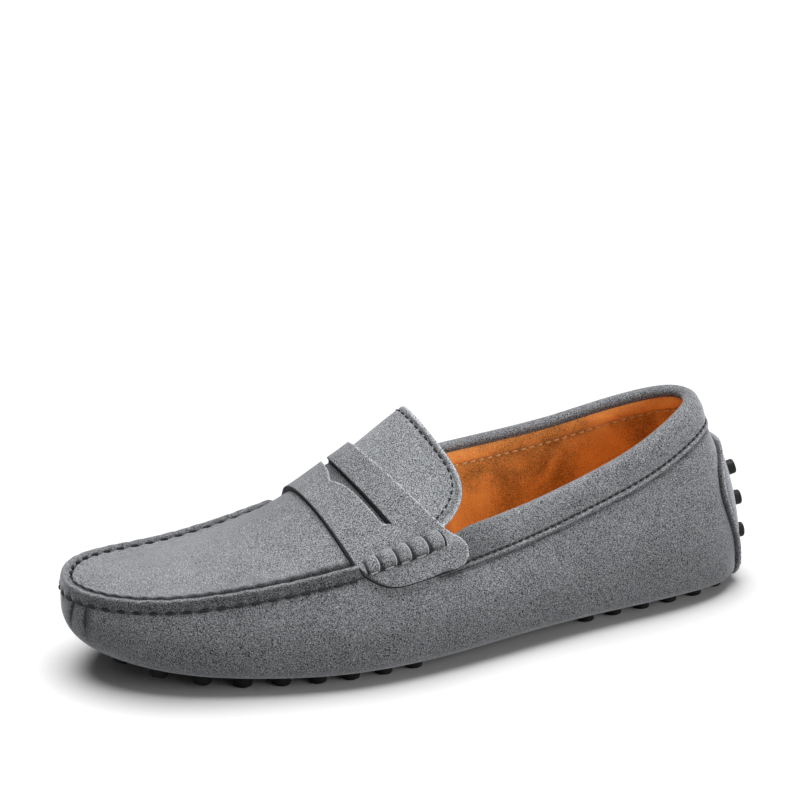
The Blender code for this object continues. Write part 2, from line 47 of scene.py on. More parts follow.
LAST = np.array([
    # x, y widest in plan; low underside; wide height of the widest; tuck turned under;
    # rim x, y, z; stand how upright the top of the side is
    (-0.9,  0.0,  4.0,  8.0,  2.5,  17.8,   0.0, 76.8, 0.1),
    (5.5,  20.0,  4.0,  8.0,  3.0,  23.3,  11.0, 75.6, 0.1),
    (26.0, 31.5,  4.3,  11.0, 5.5,  42.0,  20.5, 68.6, 0.25),
    (65.0, 37.5,  4.5,  12.0, 7.0,  72.0,  27.2, 58.9, 0.3),
    (104.0, 43.5, 5.0,  12.0, 7.0, 105.0,  32.1, 51.5, 0.2),
    (140.0, 50.0, 4.5,  12.0, 7.0, 139.0,  38.0, 47.5, 0.0),
    (184.0, 52.0, 4.5,  13.0, 7.0, 182.0,  46.0, 44.0, 0.0),
    (221.0, 43.5, 5.5,  15.0, 7.5, 220.0,  41.5, 39.5, 0.0),
    (256.0, 27.5, 8.5,  20.0, 9.5, 257.0,  28.0, 36.5, 0.0),
    (277.0, -3.5, 11.0, 27.5, 14.5, 275.8,  -3.5, 35.5, 0.0),
    (265.0, -27.5, 9.5, 25.0, 12.0, 266.0, -26.5, 35.5, 0.0),
    (235.0, -42.0, 6.0, 20.0, 8.0, 234.0, -37.5, 34.0, 0.0),
    (196.0, -47.0, 4.5, 18.0, 7.0, 194.0, -41.5, 38.0, 0.0),
    (144.0, -41.5, 6.0, 20.0, 7.0, 144.0, -36.0, 51.3, 0.0),
    (105.0, -36.0, 6.5, 20.0, 7.0, 105.0, -30.5, 58.0, 0.2),
    (62.0, -34.5, 5.0,  16.0, 7.0,  67.0, -25.5, 64.0, 0.3),
    (26.0, -31.0, 4.3,  11.0, 5.5,  41.0, -19.5, 71.0, 0.25),
    (5.5, -20.0,  4.0,  8.0,  3.0,  23.3, -10.5, 76.0, 0.1),
])
ROW_THROAT_OUTER, ROW_TIP, ROW_THROAT_INNER = 5, 9, 13
COLUMN_LOW, COLUMN_RIM = 2, 7               # of the table: the underside and the height of the rim
BULGE = 0.58                # height of the fullest part of the side, as a share of the wall
MARGIN = 1.0                # flat edge around the opening underneath
SUEDE = 1.1                 # the suede without its lining
SEAM_PITCH = 6.0            # from one hand stitch of the apron seam to the next
GATHER_SIDE, GATHER_TOE = 0.28, 0.3
GATHER_RUNGS, TOE_RUNGS = (0.24, 0.34), (0.7, 0.95)     # none to full, before the strap and round the toe
GATHER_REACH = 5.5
GATHER_INSIDE = 0.8         # share of a pucker's depth that shows on the inner face
PLEATS = ((303.4, 0.03, 0.7, 15.0), (309.6, 0.22, 0.8, 13.0))     # station, lean, depth, reach down the wall
PLEAT_SHARP, PLEAT_SOFT = 0.5, 2.4
TOE_ZONE = (286.0, 340.0)
SPACING, TOE_SPACING = 1.1, 0.45            # of the mesh round the foot and in the toe zone
SEAM_DROP, SEAM_WIDE, SEAM_RUNGS = 2.8, 0.7, (0.24, 0.3)        # painted shade on the wall under the apron seam
HEM_DROP, HEM_WIDE, HEM_RUNGS = 10.7, 0.5, (0.06, 0.02)         # painted shade on the wall under the collar binding
FOLD_SHADE, DENT_SHADE, SEAM_SHADE, HEM_SHADE = 0.7, 0.45, 0.7, 0.75
LOW_SHADE, LOW_LEVELS = 0.34, (1.55, 1.0)   # painted shade, darker towards the sole where less light falls
SUEDE_GREY = (0.136, 0.139, 0.146)
SHEEN_GREY = (0.92, 0.95, 1.0, 1.0)
GRAIN_SCALE, NAP_SCALE, BRUSH_SCALE = 3100.0, 1300.0, 48.0
NAP_SHARE = 0.16            # of the fleck's strength


def spline(knots, values, period=None):
    """Cubic through a table, natural at its ends or closed over a period: one system gives its bends."""
    closed = period is not None
    knots = np.append(knots, period) if closed else np.asarray(knots, float)
    values = np.vstack([values, values[:1]]) if closed else np.asarray(values, float)
    count = len(knots)
    step = np.diff(knots)
    slope = np.diff(values, axis=0) / step[:, None]
    inner = np.arange(1, count - 1)
    system = np.eye(count)
    system[inner, inner - 1], system[inner, inner + 1] = step[:-1], step[1:]
    system[inner, inner] = 2 * (step[:-1] + step[1:])
    right = np.zeros_like(values)
    right[inner] = 6 * np.diff(slope, axis=0)
    if closed:
        system[0, [0, 1, -2]] = 2 * (step[-1] + step[0]), step[0], step[-1]
        right[0] = 6 * (slope[0] - slope[-1])
        system[-1, 0] = -1
    bend = np.linalg.solve(system, right)

    def curve(at):
        at = np.mod(at, period) if closed else np.asarray(at, float)
        i = np.clip(np.searchsorted(knots, at, side="right") - 1, 0, count - 2)
        width = step[i][..., None]
        left = (knots[i + 1] - at)[..., None] / width
        over = 1 - left
        cubic = (left ** 3 - left) * bend[i] + (over ** 3 - over) * bend[i + 1]
        return left * values[i] + over * values[i + 1] + cubic * width ** 2 / 6

    return curve


chords = np.linalg.norm(np.diff(np.vstack([LAST, LAST[:1]])[:, :2], axis=0), axis=1)
PERIOD = chords.sum()
STATIONS = np.concatenate([[0], np.cumsum(chords)[:-1]])
last = spline(STATIONS, LAST, PERIOD)
U_TIP = STATIONS[ROW_TIP]
U_OUTER = STATIONS[ROW_THROAT_OUTER]
U_INNER = STATIONS[ROW_THROAT_INNER]


def unit(vectors):
    """Vectors divided by their length."""
    return vectors / np.maximum(np.linalg.norm(vectors, axis=-1, keepdims=True), 1e-9)


def smooth(value, low, high):
    """Cubic step from 0 at low to 1 at high."""
    share = np.clip((value - low) / (high - low), 0, 1)
    return share * share * (3 - 2 * share)


def inward(u):
    """Level direction across the outline into the shoe: the tangent turned by a right angle."""
    ahead = last(u + 1.0)[..., :2] - last(u - 1.0)[..., :2]
    return unit(np.stack([ahead[..., 1], -ahead[..., 0], 0 * ahead[..., 0]], -1))


def wall(v, u):
    """Outer face: v -1 to 0 a flat margin, 0 to 1 a quarter ellipse up, 1 to 2 a cubic up to the rim."""
    v, u = np.broadcast_arrays(np.asarray(v, float), np.asarray(u, float))
    x, y, low, wide, tuck, rim_x, rim_y, rim_z, stand = np.moveaxis(last(u), -1, 0)
    angle = np.clip(v, 0, 1) * np.pi / 2
    inset = tuck * (1 - np.sin(angle)) + MARGIN * np.clip(-v, 0, 1)
    height = low + (wide - low) * (1 - np.cos(angle))
    under = np.stack([x, y, height], -1) + inward(u) * inset[..., None]
    t = np.clip(v - 1, 0, 1)[..., None]
    foot = np.stack([x, y, wide], -1)
    full = np.stack([x, y, wide + BULGE * (rim_z - wide)], -1)
    rim = np.stack([rim_x, rim_y, rim_z], -1)
    first, second = foot + (full - foot) * 2 / 3, rim + (full - rim) * 2 / 3
    second = second + (rim - second) * stand[..., None] * np.array([1, 1, 0])
    side = foot * (1 - t) ** 3 + 3 * first * t * (1 - t) ** 2 + 3 * second * t * t * (1 - t) + rim * t ** 3
    return np.where((v > 1)[..., None], side, under)


def rung_of(u):
    """Place of a station between the throat (0) and the toe tip (1), on either side of the foot."""
    u = np.mod(u, PERIOD)
    return np.where(u <= U_TIP, (u - U_OUTER) / (U_TIP - U_OUTER), (U_INNER - u) / (U_INNER - U_TIP))


def normals(grid, closed=False):
    """Cross product of a grid's two directions, wrapped round where the grid is closed."""
    padded = np.concatenate([grid[-2:], grid, grid[:2]]) if closed else grid
    across = unit(np.cross(np.gradient(padded, axis=0), np.gradient(padded, axis=1)))
    return across[2:-2] if closed else across


def gathers(drop, u):
    """Depth of the puckers below the seam: a cosine along it, deeper round the toe and gone lower down."""
    deep = GATHER_SIDE * smooth(rung_of(u), *GATHER_RUNGS) + GATHER_TOE * smooth(rung_of(u), *TOE_RUNGS)
    uneven = 0.75 + 0.25 * np.sin(u * 0.37 + 1.0)
    wave = 0.5 + 0.5 * np.cos(2 * np.pi * u / SEAM_PITCH)
    return deep * uneven * wave * np.exp(-(drop / GATHER_REACH) ** 2)


def pleats(drop, u):
    """Depth of the folds at the toe corner: sharp on one side and soft on the other, closing downwards."""
    depth = 0 * drop
    for station, lean, deep, reach in PLEATS:
        off = u - station - lean * drop
        side = np.where(off > 0, PLEAT_SHARP, PLEAT_SOFT)
        depth = depth + deep * np.exp(-(off / side) ** 2) * np.exp(-(drop / reach) ** 4)
    return depth


def ring(points, axis):
    """A grid with its first row or column repeated at the end, so that it closes."""
    return np.concatenate([points, points.take([0], axis)], axis)


def shell(face, back, shade, step):
    """Closed band round the foot: a face that carries the shade, and every so many rows of a back."""
    rows = np.unique(np.append(np.arange(0, back.shape[1], step), back.shape[1] - 1))[::-1]
    points = np.concatenate([face, back[:, rows]], 1)
    shades = np.concatenate([shade, 0 * back[:, rows, 0]], 1)
    return ring(ring(points, 0), 1), ring(ring(shades, 0), 1)


def piece(name, material, *patches, turn=True):
    """Mesh over patches, each a grid of points and its painted shade (below 0 a painted highlight); edges
    that meet are sewn.
    """
    places, shades, quads, count = [], [], [], 0
    for points, shade in patches:
        grids = points.reshape((-1,) + points.shape[-3:])
        index = np.arange(grids[..., 0].size).reshape(grids.shape[:3]) + count
        corners = index[:, :-1, :-1], index[:, 1:, :-1], index[:, 1:, 1:], index[:, :-1, 1:]
        quads.append(np.stack(corners, -1).reshape(-1, 4))
        places.append(grids.reshape(-1, 3))
        shades.append(np.broadcast_to(shade, grids.shape[:3]).ravel())
        count += index.size
    mesh = bpy.data.meshes.new(name)
    mesh.from_pydata((np.concatenate(places) - ORIGIN) * MM, [], np.concatenate(quads))
    shade_layer = mesh.attributes.new("shade", "FLOAT", "POINT")
    shade_layer.data.foreach_set("value", np.concatenate(shades).astype("f"))
    work = bmesh.new()
    work.from_mesh(mesh)
    bmesh.ops.remove_doubles(work, verts=work.verts, dist=SEW)
    if turn:
        bmesh.ops.recalc_face_normals(work, faces=work.faces)
    work.to_mesh(mesh)
    work.free()
    mesh.polygons.foreach_set("use_smooth", np.ones(len(mesh.polygons), bool))
    mesh.materials.append(material)
    made = bpy.data.objects.new(name, mesh)
    bpy.context.collection.objects.link(made)
    return made


class Wire:
    """One output of a material's nodes; arithmetic with it adds Math nodes."""

    def __init__(self, tree, socket=None):
        self.tree, self.socket = tree, socket

    def node(self, kind, settings, sockets, output=0):
        """A node of a kind: its settings, then the values or links of its sockets; gives one output."""
        made = self.tree.nodes.new(kind)
        for name, value in settings.items():
            setattr(made, name, value)
        for key, value in sockets.items():
            if isinstance(value, Wire):
                self.tree.links.new(value.socket, made.inputs[key])
            else:
                made.inputs[key].default_value = value
        return Wire(self.tree, made.outputs[output] if made.outputs else None)

    def math(self, operation, first, second):
        return self.node("ShaderNodeMath", {"operation": operation}, {0: first, 1: second})

    def __add__(self, other):
        return self.math("ADD", self, other)

    def __radd__(self, other):
        return self.math("ADD", other, self)

    def __sub__(self, other):
        return self.math("SUBTRACT", self, other)

    def __rsub__(self, other):
        return self.math("SUBTRACT", other, self)

    def __mul__(self, other):
        return self.math("MULTIPLY", self, other)

    def __rmul__(self, other):
        return self.math("MULTIPLY", other, self)


def blank(name):
    """A new material and the wire that its nodes start from."""
    material = bpy.data.materials.new(name)
    material.use_nodes = True
    material.node_tree.nodes.clear()
    return material, Wire(material.node_tree)


def noise(start, scale, detail, distortion=0.0):
    """Noise over the piece's own coordinates, with so many waves to the metre."""
    place = start.node("ShaderNodeTexCoord", {}, {}, "Object")
    return start.node("ShaderNodeTexNoise", {}, {
        "Vector": place, "Scale": scale, "Detail": detail, "Distortion": distortion})


def surface(start, colour, tone, sockets):
    """Closes a material with a shader whose colour is multiplied by a tone."""
    tint = start.node("ShaderNodeVectorMath", {"operation": "SCALE"}, {0: colour, "Scale": tone})
    shader = start.node("ShaderNodeBsdfPrincipled", {}, {"Base Color": tint, **sockets})
    start.node("ShaderNodeOutputMaterial", {}, {"Surface": shader})


def suede(name, colour, fleck=6.6, patchy=0.5, shade_strength=0.86, sheen=0.4):
    """Napped leather: a fleck and a brushed mottle multiply the colour; painted shade darkens it, below 0
    lightens it.
    """
    material, start = blank(name)
    grain = noise(start, GRAIN_SCALE, 1.0)
    nap = noise(start, NAP_SCALE, 1.0)
    brushed = noise(start, BRUSH_SCALE, 3.0, 0.6)
    shade = start.node("ShaderNodeAttribute", {"attribute_name": "shade"}, {}, "Fac")
    tone = 1.0 + fleck * (grain - 0.5) + NAP_SHARE * fleck * (nap - 0.5) + patchy * (brushed - 0.5)
    height = 0.5 * grain + 0.5 * nap
    bump = start.node("ShaderNodeBump", {}, {"Strength": 0.55, "Distance": 0.35 * MM, "Height": height})
    surface(start, colour, tone * (1.0 - shade_strength * shade), {
        "Roughness": 0.95, "Specular IOR Level": 0.12, "Normal": bump,
        "Sheen Weight": sheen, "Sheen Roughness": 0.4, "Sheen Tint": SHEEN_GREY})
    return material


grey_suede = suede("grey_suede", SUEDE_GREY)
levels = np.concatenate([[-1.0], np.linspace(0, 1, 15), np.linspace(1, 2, 45)[1:]])
round_foot = np.concatenate([
    np.arange(0, TOE_ZONE[0], SPACING), np.arange(*TOE_ZONE, TOE_SPACING),
    np.arange(TOE_ZONE[1], PERIOD - 0.5, SPACING)])
foot_rung = rung_of(round_foot)[:, None]
seat = wall(levels[None, :], round_foot[:, None])
fall = last(round_foot)[:, None, COLUMN_RIM] - seat[..., 2]
folds = pleats(fall, round_foot[:, None])
dent = gathers(fall, round_foot[:, None]) + folds
into = normals(seat, closed=True)
outside = seat + into * dent[..., None]
inside = seat + into * (SUEDE + GATHER_INSIDE * dent)[..., None]
under_seam = np.exp(-((fall - SEAM_DROP) / SEAM_WIDE) ** 2) * smooth(foot_rung, *SEAM_RUNGS)
under_hem = np.exp(-((fall - HEM_DROP) / HEM_WIDE) ** 2) * smooth(foot_rung, *HEM_RUNGS)
# Painted shade: darker in the pleats and puckers, under the apron seam and the collar binding, and towards
# the sole.
dark = FOLD_SHADE * folds + DENT_SHADE * dent + SEAM_SHADE * under_seam + HEM_SHADE * under_hem
dark = np.clip(dark + LOW_SHADE * smooth(levels, *LOW_LEVELS), 0, 1)
upper_wall = piece("upper_wall", grey_suede, shell(outside, inside, dark, step=4))
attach(upper_wall, "root")
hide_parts("upper")


# Apron: the top of the foot from the throat under the strap to the toe, one piece of the same suede.
# It dips at its edge, where the hand stitches pull it into the seam, and puckers softly between them.
APRON = np.array([
    # rung from throat to toe tip; crown rise over the seams; bow lead of the middle; ridge side shift
    (-0.30, 41.0, 16.0, -0.20),
    (-0.15, 33.2, 17.5, -0.20),
    (0.00,  21.5, 17.0, -0.20),
    (0.10,  18.0, 12.0, -0.20),
    (0.20,  15.6,  6.0, -0.16),
    (0.35,  10.0,  2.5, -0.10),
    (0.60,  4.5,  1.5,  0.00),
    (0.85,  1.8,  0.5,  0.00),
    (1.00,  0.0,  0.0,  0.00),
])
THROAT = 0.045              # rung where the apron ends under the strap
TUCK_IN = 1.025             # its edge in half widths, a little past the seam and into the ridge
FIN_WIDTH = 4.0             # the raised seam between the wall and the apron
EDGE_DIP, EDGE_REACH = 0.9, 0.9
PUFF = 1.3                  # swelling of the edge above the seam
PUFF_RISE, PUFF_REACH = 1.1, 5.0            # how far in the swelling starts and ends
PUCKER, PUCKER_START, PUCKER_REACH = 0.3, 2.0, 5.0
STRAP_SHADE, STRAP_RUNGS = 0.45, (0.2, 0.17)            # darker where the strap keeps the light off
GROOVE_SHADE, GROOVE_OUTER, GROOVE_INNER = 0.95, 3.1, 0.9       # painted shade in the groove beside the seam, its two widths
CROWD = 1.45                # angle of the sine that crowds columns at an edge
apron_table = spline(APRON[:, 0], APRON[:, 1:])


def crowded(count, angle, reach=1.0):
    """Shares from minus to plus a reach, closer together towards both ends: a sine up to an angle."""
    return reach * np.sin(np.linspace(-1, 1, count) * angle) / np.sin(angle)


def outer_u(rung):
    """Station on the outer side at a rung."""
    return U_OUTER + np.asarray(rung) * (U_TIP - U_OUTER)


def inner_u(rung):
    """Station on the inner side at a rung."""
    return U_INNER + np.asarray(rung) * (U_TIP - U_INNER)


def seam(u):
    """Edge of the apron: the rim moved in by the width of the raised seam."""
    return wall(2.0, u) + inward(u) * FIN_WIDTH


def apron(rung, across):
    """A chord between the seams, arched up as a parabola and bowed forward; across 1 is the outer seam."""
    rung, across = np.broadcast_arrays(np.asarray(rung, float), np.asarray(across, float))
    crown, bow, ridge = np.moveaxis(apron_table(rung), -1, 0)
    side = np.where(across > ridge, 1 - ridge, 1 + ridge)
    arch = 1 - ((across - ridge) / side) ** 2
    half = (1 + across[..., None]) / 2
    chord = seam(outer_u(rung)) * half + seam(inner_u(rung)) * (1 - half)
    return chord + np.stack([bow * arch, 0 * arch, crown * arch], -1)


def slab(low, high, shade=0.0):
    """Patches of a closed body between two grids of the same shape; the high one carries the shade."""
    shade = np.broadcast_to(shade, high.shape[:2])
    sides = [(np.stack([low[:, end], high[:, end]]), np.stack([shade[:, end]] * 2)) for end in (0, -1)]
    ends = [(np.stack([low[end], high[end]]), np.stack([shade[end]] * 2)) for end in (0, -1)]
    return [(low, 0.0), (high, shade)] + sides + ends


rungs = THROAT + (1 - THROAT) * (1 - (1 - np.linspace(0, 1, 150)) ** 1.5)[:, None]
share = crowded(97, CROWD, TUCK_IN)
top = apron(rungs, share[None, :])
half_width = np.linalg.norm(seam(outer_u(rungs)) - seam(inner_u(rungs)), axis=-1) / 2
from_edge = np.minimum((1 - np.abs(share))[None, :] * half_width, (1 - rungs) * (U_TIP - U_OUTER))
edge_u = np.where(share[None, :] > 0, outer_u(rungs), inner_u(rungs))
in_front = smooth(rungs, *GATHER_RUNGS)
pucker = PUCKER * np.cos(2 * np.pi * edge_u / SEAM_PITCH) * np.exp(-(from_edge / PUCKER_REACH) ** 2)
pucker = pucker * smooth(from_edge, 0, PUCKER_START) * in_front
sunk = EDGE_DIP * np.exp(-(from_edge / EDGE_REACH) ** 2) + pucker
puffed = PUFF * (1 - np.exp(-(from_edge / PUFF_RISE) ** 2)) * np.exp(-(from_edge / PUFF_REACH) ** 2)
top = top + UP * (puffed * in_front - sunk)[..., None]
groove_width = np.where(share > 0, GROOVE_OUTER, GROOVE_INNER)
# Painted shade: darker under the strap and in the groove beside the seam.
apron_shade = STRAP_SHADE * smooth(rungs, *STRAP_RUNGS) + GROOVE_SHADE * np.exp(-(from_edge / groove_width) ** 4)
apron_piece = piece("apron", grey_suede, *slab(top - UP * SUEDE, top, apron_shade))
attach(apron_piece, "root")
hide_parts("upper")


# Apron seam: the edges of the wall and the apron pinched into one standing ridge of doubled suede.
# Waxed dark thread goes through it by hand, so the ridge is drawn in at each stitch and swells between.
FIN_PROFILE = np.array([
    # inward from the rim and up from it, once round the ridge from the foot of its outer face
    (0.0, -2.7), (-0.30, -2.2), (-0.45, -1.2), (-0.40, 0.2), (-0.20, 1.2), (0.15, 1.8), (0.8, 2.15),
    (1.8, 2.1), (2.6, 1.7), (3.2, 0.9), (3.7, 0.0), (4.0, -1.0), (2.6, -2.4), (1.2, -2.9),
])
FIN_FADE = (0.235, 0.27)    # rungs where the ridge dies out under the strap
LEAN_LEVEL = 1.88           # wall level that gives the lean of the wall below the rim
PINCH_REACH = 1.4
DRAWN, SWOLLEN = 0.45, 0.2  # of the ridge's foot, in at a stitch and out between stitches
DRAWN_HEIGHT, DRAWN_REACH = -2.0, 1.3
SIDE_ROUGH, CREST_ROUGH = 0.12, 0.07
THREAD_AND_SHADOW_DARK = (0.012, 0.012, 0.013)
SEAM_STITCH, SEAM_THREAD = 3.4, 0.72
SEAM_STAND, SEAM_SINK = 0.3, 1.2            # of a stitch's middle and its ends, in radii of the thread
OUTER_SEW, INNER_SEW = 0.55, 9.1            # rows of the profile where the thread shows
HIDDEN_RUNG, SEWN_RUNG = 0.21, 0.26         # where the ridge ends under the strap and the stitches begin
GAP_ROWS = (6.1, 7.0), (12.0, 11.0)         # rows of the painted shade in the gap by the apron, none to full at each end
FACE_ROWS = (6.0, 4.4)      # rows of the outer face's painted shade, none to full
FOOT_ROW, FOOT_WIDE = 0.4, 0.6
GAP_SHADE, FACE_SHADE, FOOT_SHADE = 0.95, 0.58, 0.6
INNER_GAP = 0.25            # share of the gap's shade on the inner side of the foot
TOE_TURN = 12.0, -14.0      # from the toe tip, between which the inner side's shade becomes the outer's
fin_profile = spline(np.arange(len(FIN_PROFILE)), FIN_PROFILE, len(FIN_PROFILE))


def pinch(u):
    """1 at a stitch and 0 between stitches: a bell curve about each."""
    off = (u / SEAM_PITCH + 0.5) % 1 - 0.5
    return np.exp(-(off * SEAM_PITCH / PINCH_REACH) ** 2)


def fin(row, u):
    """The ridge's profile carried along the rim; its foot leans as the wall does and stitches draw it in."""
    across, height = np.moveaxis(fin_profile(row), -1, 0)
    full = smooth(rung_of(u), *FIN_FADE)
    rough = 0.5 * np.sin(u * 0.57 + 1) + 0.3 * np.sin(u * 1.31 + 2) + 0.2 * np.sin(u * 2.9)
    rim = wall(2.0, u)
    rise = rim - wall(LEAN_LEVEL, u)
    lean = (rise * inward(u)).sum(-1) / rise[..., 2]
    side = np.sign(across - FIN_WIDTH / 2)
    low = np.exp(-((height - DRAWN_HEIGHT) / DRAWN_REACH) ** 2)
    drawn = DRAWN * pinch(u) * low - SWOLLEN * (1 - pinch(u)) * low
    across = across - side * drawn + SIDE_ROUGH * rough + lean * np.minimum(height, 0)
    crest = 1 - CREST_ROUGH * pinch(u) + CREST_ROUGH * rough
    height = np.where(height > 0, height * full * crest, height)
    return rim + inward(u) * across[..., None] + UP * height[..., None]


def thread(name, colour, twist=1500.0):
    """Spun thread: fine noise for its plies in the colour and the bump."""
    material, start = blank(name)
    plies = noise(start, twist, 2.0)
    bump = start.node("ShaderNodeBump", {}, {"Strength": 0.4, "Distance": 0.2 * MM, "Height": plies})
    surface(start, colour, 0.6 + 0.8 * plies, {
        "Roughness": 0.75, "Specular IOR Level": 0.25, "Normal": bump})
    return material


def tube(path, rise, radius, sides=6):
    """Round section carried along paths; its radius may change along them, and 0 closes a path."""
    ahead = unit(np.gradient(path, axis=-2))
    side = unit(np.cross(ahead, rise))
    over = np.cross(side, ahead)
    turn = np.linspace(0, 2 * np.pi, sides + 1)[:, None]
    spoke = np.cos(turn) * side[..., None, :] + np.sin(turn) * over[..., None, :]
    return path[..., None, :] + spoke * np.asarray(radius)[..., None, None]


def stitches(path, rise, pitch, length, radius, stand=0.6, dip=1.3):
    """Stitches along a path: each a short tube with round ends that dips into the suede at both ends."""
    run = np.concatenate([[0], np.cumsum(np.linalg.norm(np.diff(path, axis=0), axis=1))])
    middles = np.arange(length, run[-1] - length / 2, pitch)
    along = np.linspace(-1, 1, 7)
    at = middles[:, None] + along * length / 2
    line = np.stack([np.interp(at, run, path[:, axis]) for axis in range(3)], -1)
    up = unit(np.stack([np.interp(at, run, rise[:, axis]) for axis in range(3)], -1))
    line = line + up * (radius * (stand - dip * along ** 4))[:, None]
    return tube(line, up, np.broadcast_to(radius * np.sqrt(np.clip(1 - along ** 4, 0, 1)), at.shape))


fin_u = np.arange(outer_u(HIDDEN_RUNG), inner_u(HIDDEN_RUNG), 0.5)
fin_row = np.linspace(0, len(FIN_PROFILE), 57)
ridge = fin(fin_row[None, :], fin_u[:, None])
outer_side = smooth(fin_u, U_TIP + TOE_TURN[0], U_TIP + TOE_TURN[1])[:, None]
# Painted shade: a dark gap beside the apron, a darker outer face and a dark line at the foot of the ridge.
gap = (smooth(fin_row, *GAP_ROWS[0]) * smooth(fin_row, *GAP_ROWS[1]))[None, :]
gap = gap * (INNER_GAP + (1 - INNER_GAP) * outer_side)
foot = FOOT_SHADE * np.exp(-((fin_row - FOOT_ROW) / FOOT_WIDE) ** 2)
foot = foot + FACE_SHADE * smooth(fin_row, *FACE_ROWS)
ridge_shade = np.clip(GAP_SHADE * gap + foot[None, :], 0, 1)
middles = [np.repeat(ridge[end].mean(0)[None], len(fin_row), 0) for end in (0, -1)]
fin_caps = [(np.stack([ridge[end], middles[end]]), 0.0) for end in (0, -1)]
seam_ridge = piece("seam_ridge", grey_suede, (ridge, ridge_shade), *fin_caps)
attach(seam_ridge, "root")
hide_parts("upper")

# The dark thread's material also draws the painted shadow lines along the strap's edges and the rolls'
# folds.
dark_thread_and_shadow = thread("dark_thread_and_shadow", THREAD_AND_SHADOW_DARK)
stitch_ends = np.ceil(outer_u(SEWN_RUNG) / SEAM_PITCH), np.floor(inner_u(SEWN_RUNG) / SEAM_PITCH)
stitch_u = np.arange(stitch_ends[0], stitch_ends[1] + 1) * SEAM_PITCH
reach = np.linspace(-1, 1, 7)
stitch_at = stitch_u[:, None] + reach * SEAM_STITCH / 2
stitch_size = np.broadcast_to(SEAM_THREAD * np.sqrt(np.clip(1 - reach ** 4, 0, 1)), stitch_at.shape)
sewn = []
for sew_row in (OUTER_SEW, INNER_SEW):
    line = fin(np.full(stitch_at.shape, sew_row), stitch_at)
    out = unit(line - (wall(2.0, stitch_at) + inward(stitch_at) * FIN_WIDTH / 2))
    line = line + out * (SEAM_THREAD * (SEAM_STAND - SEAM_SINK * reach ** 4))[:, None]
    sewn.append(tube(line, out, stitch_size))
seam_stitches = piece("seam_stitches", dark_thread_and_shadow, *[(row, 0.0) for row in sewn])
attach(seam_stitches, "root")


# Lining: tan suede glued inside the upper, round the quarters, along the vamp and under the apron.
# A strip of foam under it pads the collar down to the row of stitches that comes through from outside.
LINING, GLUE = 0.85, 0.05   # thickness of the suede and of the glue behind it
LINING_TAN = (0.83, 0.42, 0.135)
LINING_TOP = 0.2            # below the rim, hidden by the binding
LINING_LOW = 0.4            # wall level of its lower edge, beside the insole
PAD_DEPTH, PAD_DROP = 1.0, 8.2
PAD_ROUND = 5.0             # below the rim, where the foam is full
PAD_FADE = 6.0              # above the stitches, where it starts to thin
PAD_RUNGS = (0.12, -0.05)   # where the foam begins and is full
SEWN_DEPTH, SEWN_WIDE = 0.35, 0.8
SEWN_SHADE, PAD_LIGHT, LIGHT_FADE = 0.9, 0.35, 2.5      # painted shade along the stitches, painted highlight above them
lining_suede = suede("lining_suede", LINING_TAN, fleck=2.4, patchy=2.2, shade_strength=0.7, sheen=0.15)
rise_share = np.linspace(0, 1, 60) ** 0.8


def wall_at_drop(drop, u):
    """Wall level that lies a drop straight below the rim, found by halving."""
    drop, u = np.broadcast_arrays(np.asarray(drop, float), np.asarray(u, float))
    low, high = np.ones(u.shape), np.full(u.shape, 2.0)
    goal = last(u)[..., COLUMN_RIM] - drop
    for _ in range(26):
        middle = (low + high) / 2
        above = wall(middle, u)[..., 2] > goal
        low, high = np.where(above, low, middle), np.where(above, middle, high)
    return (low + high) / 2


lining_u = np.arange(0, PERIOD - 0.5, 1.3)
top_level = wall_at_drop(LINING_TOP, lining_u)
lining_v = LINING_LOW + (top_level - LINING_LOW)[:, None] * rise_share[None, :]
lining_seat = wall(lining_v, lining_u[:, None])
lining_in = normals(lining_seat, closed=True)
lining_fall = last(lining_u)[:, None, COLUMN_RIM] - lining_seat[..., 2]
rear = smooth(rung_of(lining_u), *PAD_RUNGS)[:, None]
pad = PAD_DEPTH * np.sqrt(np.clip(lining_fall / PAD_ROUND, 0, 1))
pad = pad * smooth(lining_fall, PAD_DROP, PAD_DROP - PAD_FADE) * rear
sewn_in = SEWN_DEPTH * np.exp(-((lining_fall - PAD_DROP) / SEWN_WIDE) ** 2) * rear
lining_dent = gathers(lining_fall, lining_u[:, None]) + pleats(lining_fall, lining_u[:, None])
skin = lining_seat + lining_in * (SUEDE + LINING + pad - sewn_in + lining_dent)[..., None]
back = lining_seat + lining_in * (SUEDE + GLUE + lining_dent)[..., None]
above_row = smooth(lining_fall, PAD_DROP, PAD_DROP - LIGHT_FADE) * rear
# Painted shade along the stitches and painted highlight above them.
seam_shade = SEWN_SHADE * sewn_in - PAD_LIGHT * above_row
lining = piece("lining", lining_suede, shell(skin, back, seam_shade, step=6))
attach(lining, "root")
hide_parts("upper")

VAMP_END, VAMP_SIDE = 0.97, 0.985           # rung of its front end, share of the apron's half width
vamp_rungs = np.linspace(THROAT, VAMP_END, 60)[:, None]
vamp_share = np.linspace(-VAMP_SIDE, VAMP_SIDE, 41)[None, :]
vamp_high = apron(vamp_rungs, vamp_share) - UP * (SUEDE + EDGE_DIP)
vamp_lining = piece("vamp_lining", lining_suede, *slab(vamp_high - UP * LINING, vamp_high))
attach(vamp_lining, "root")
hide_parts("upper")

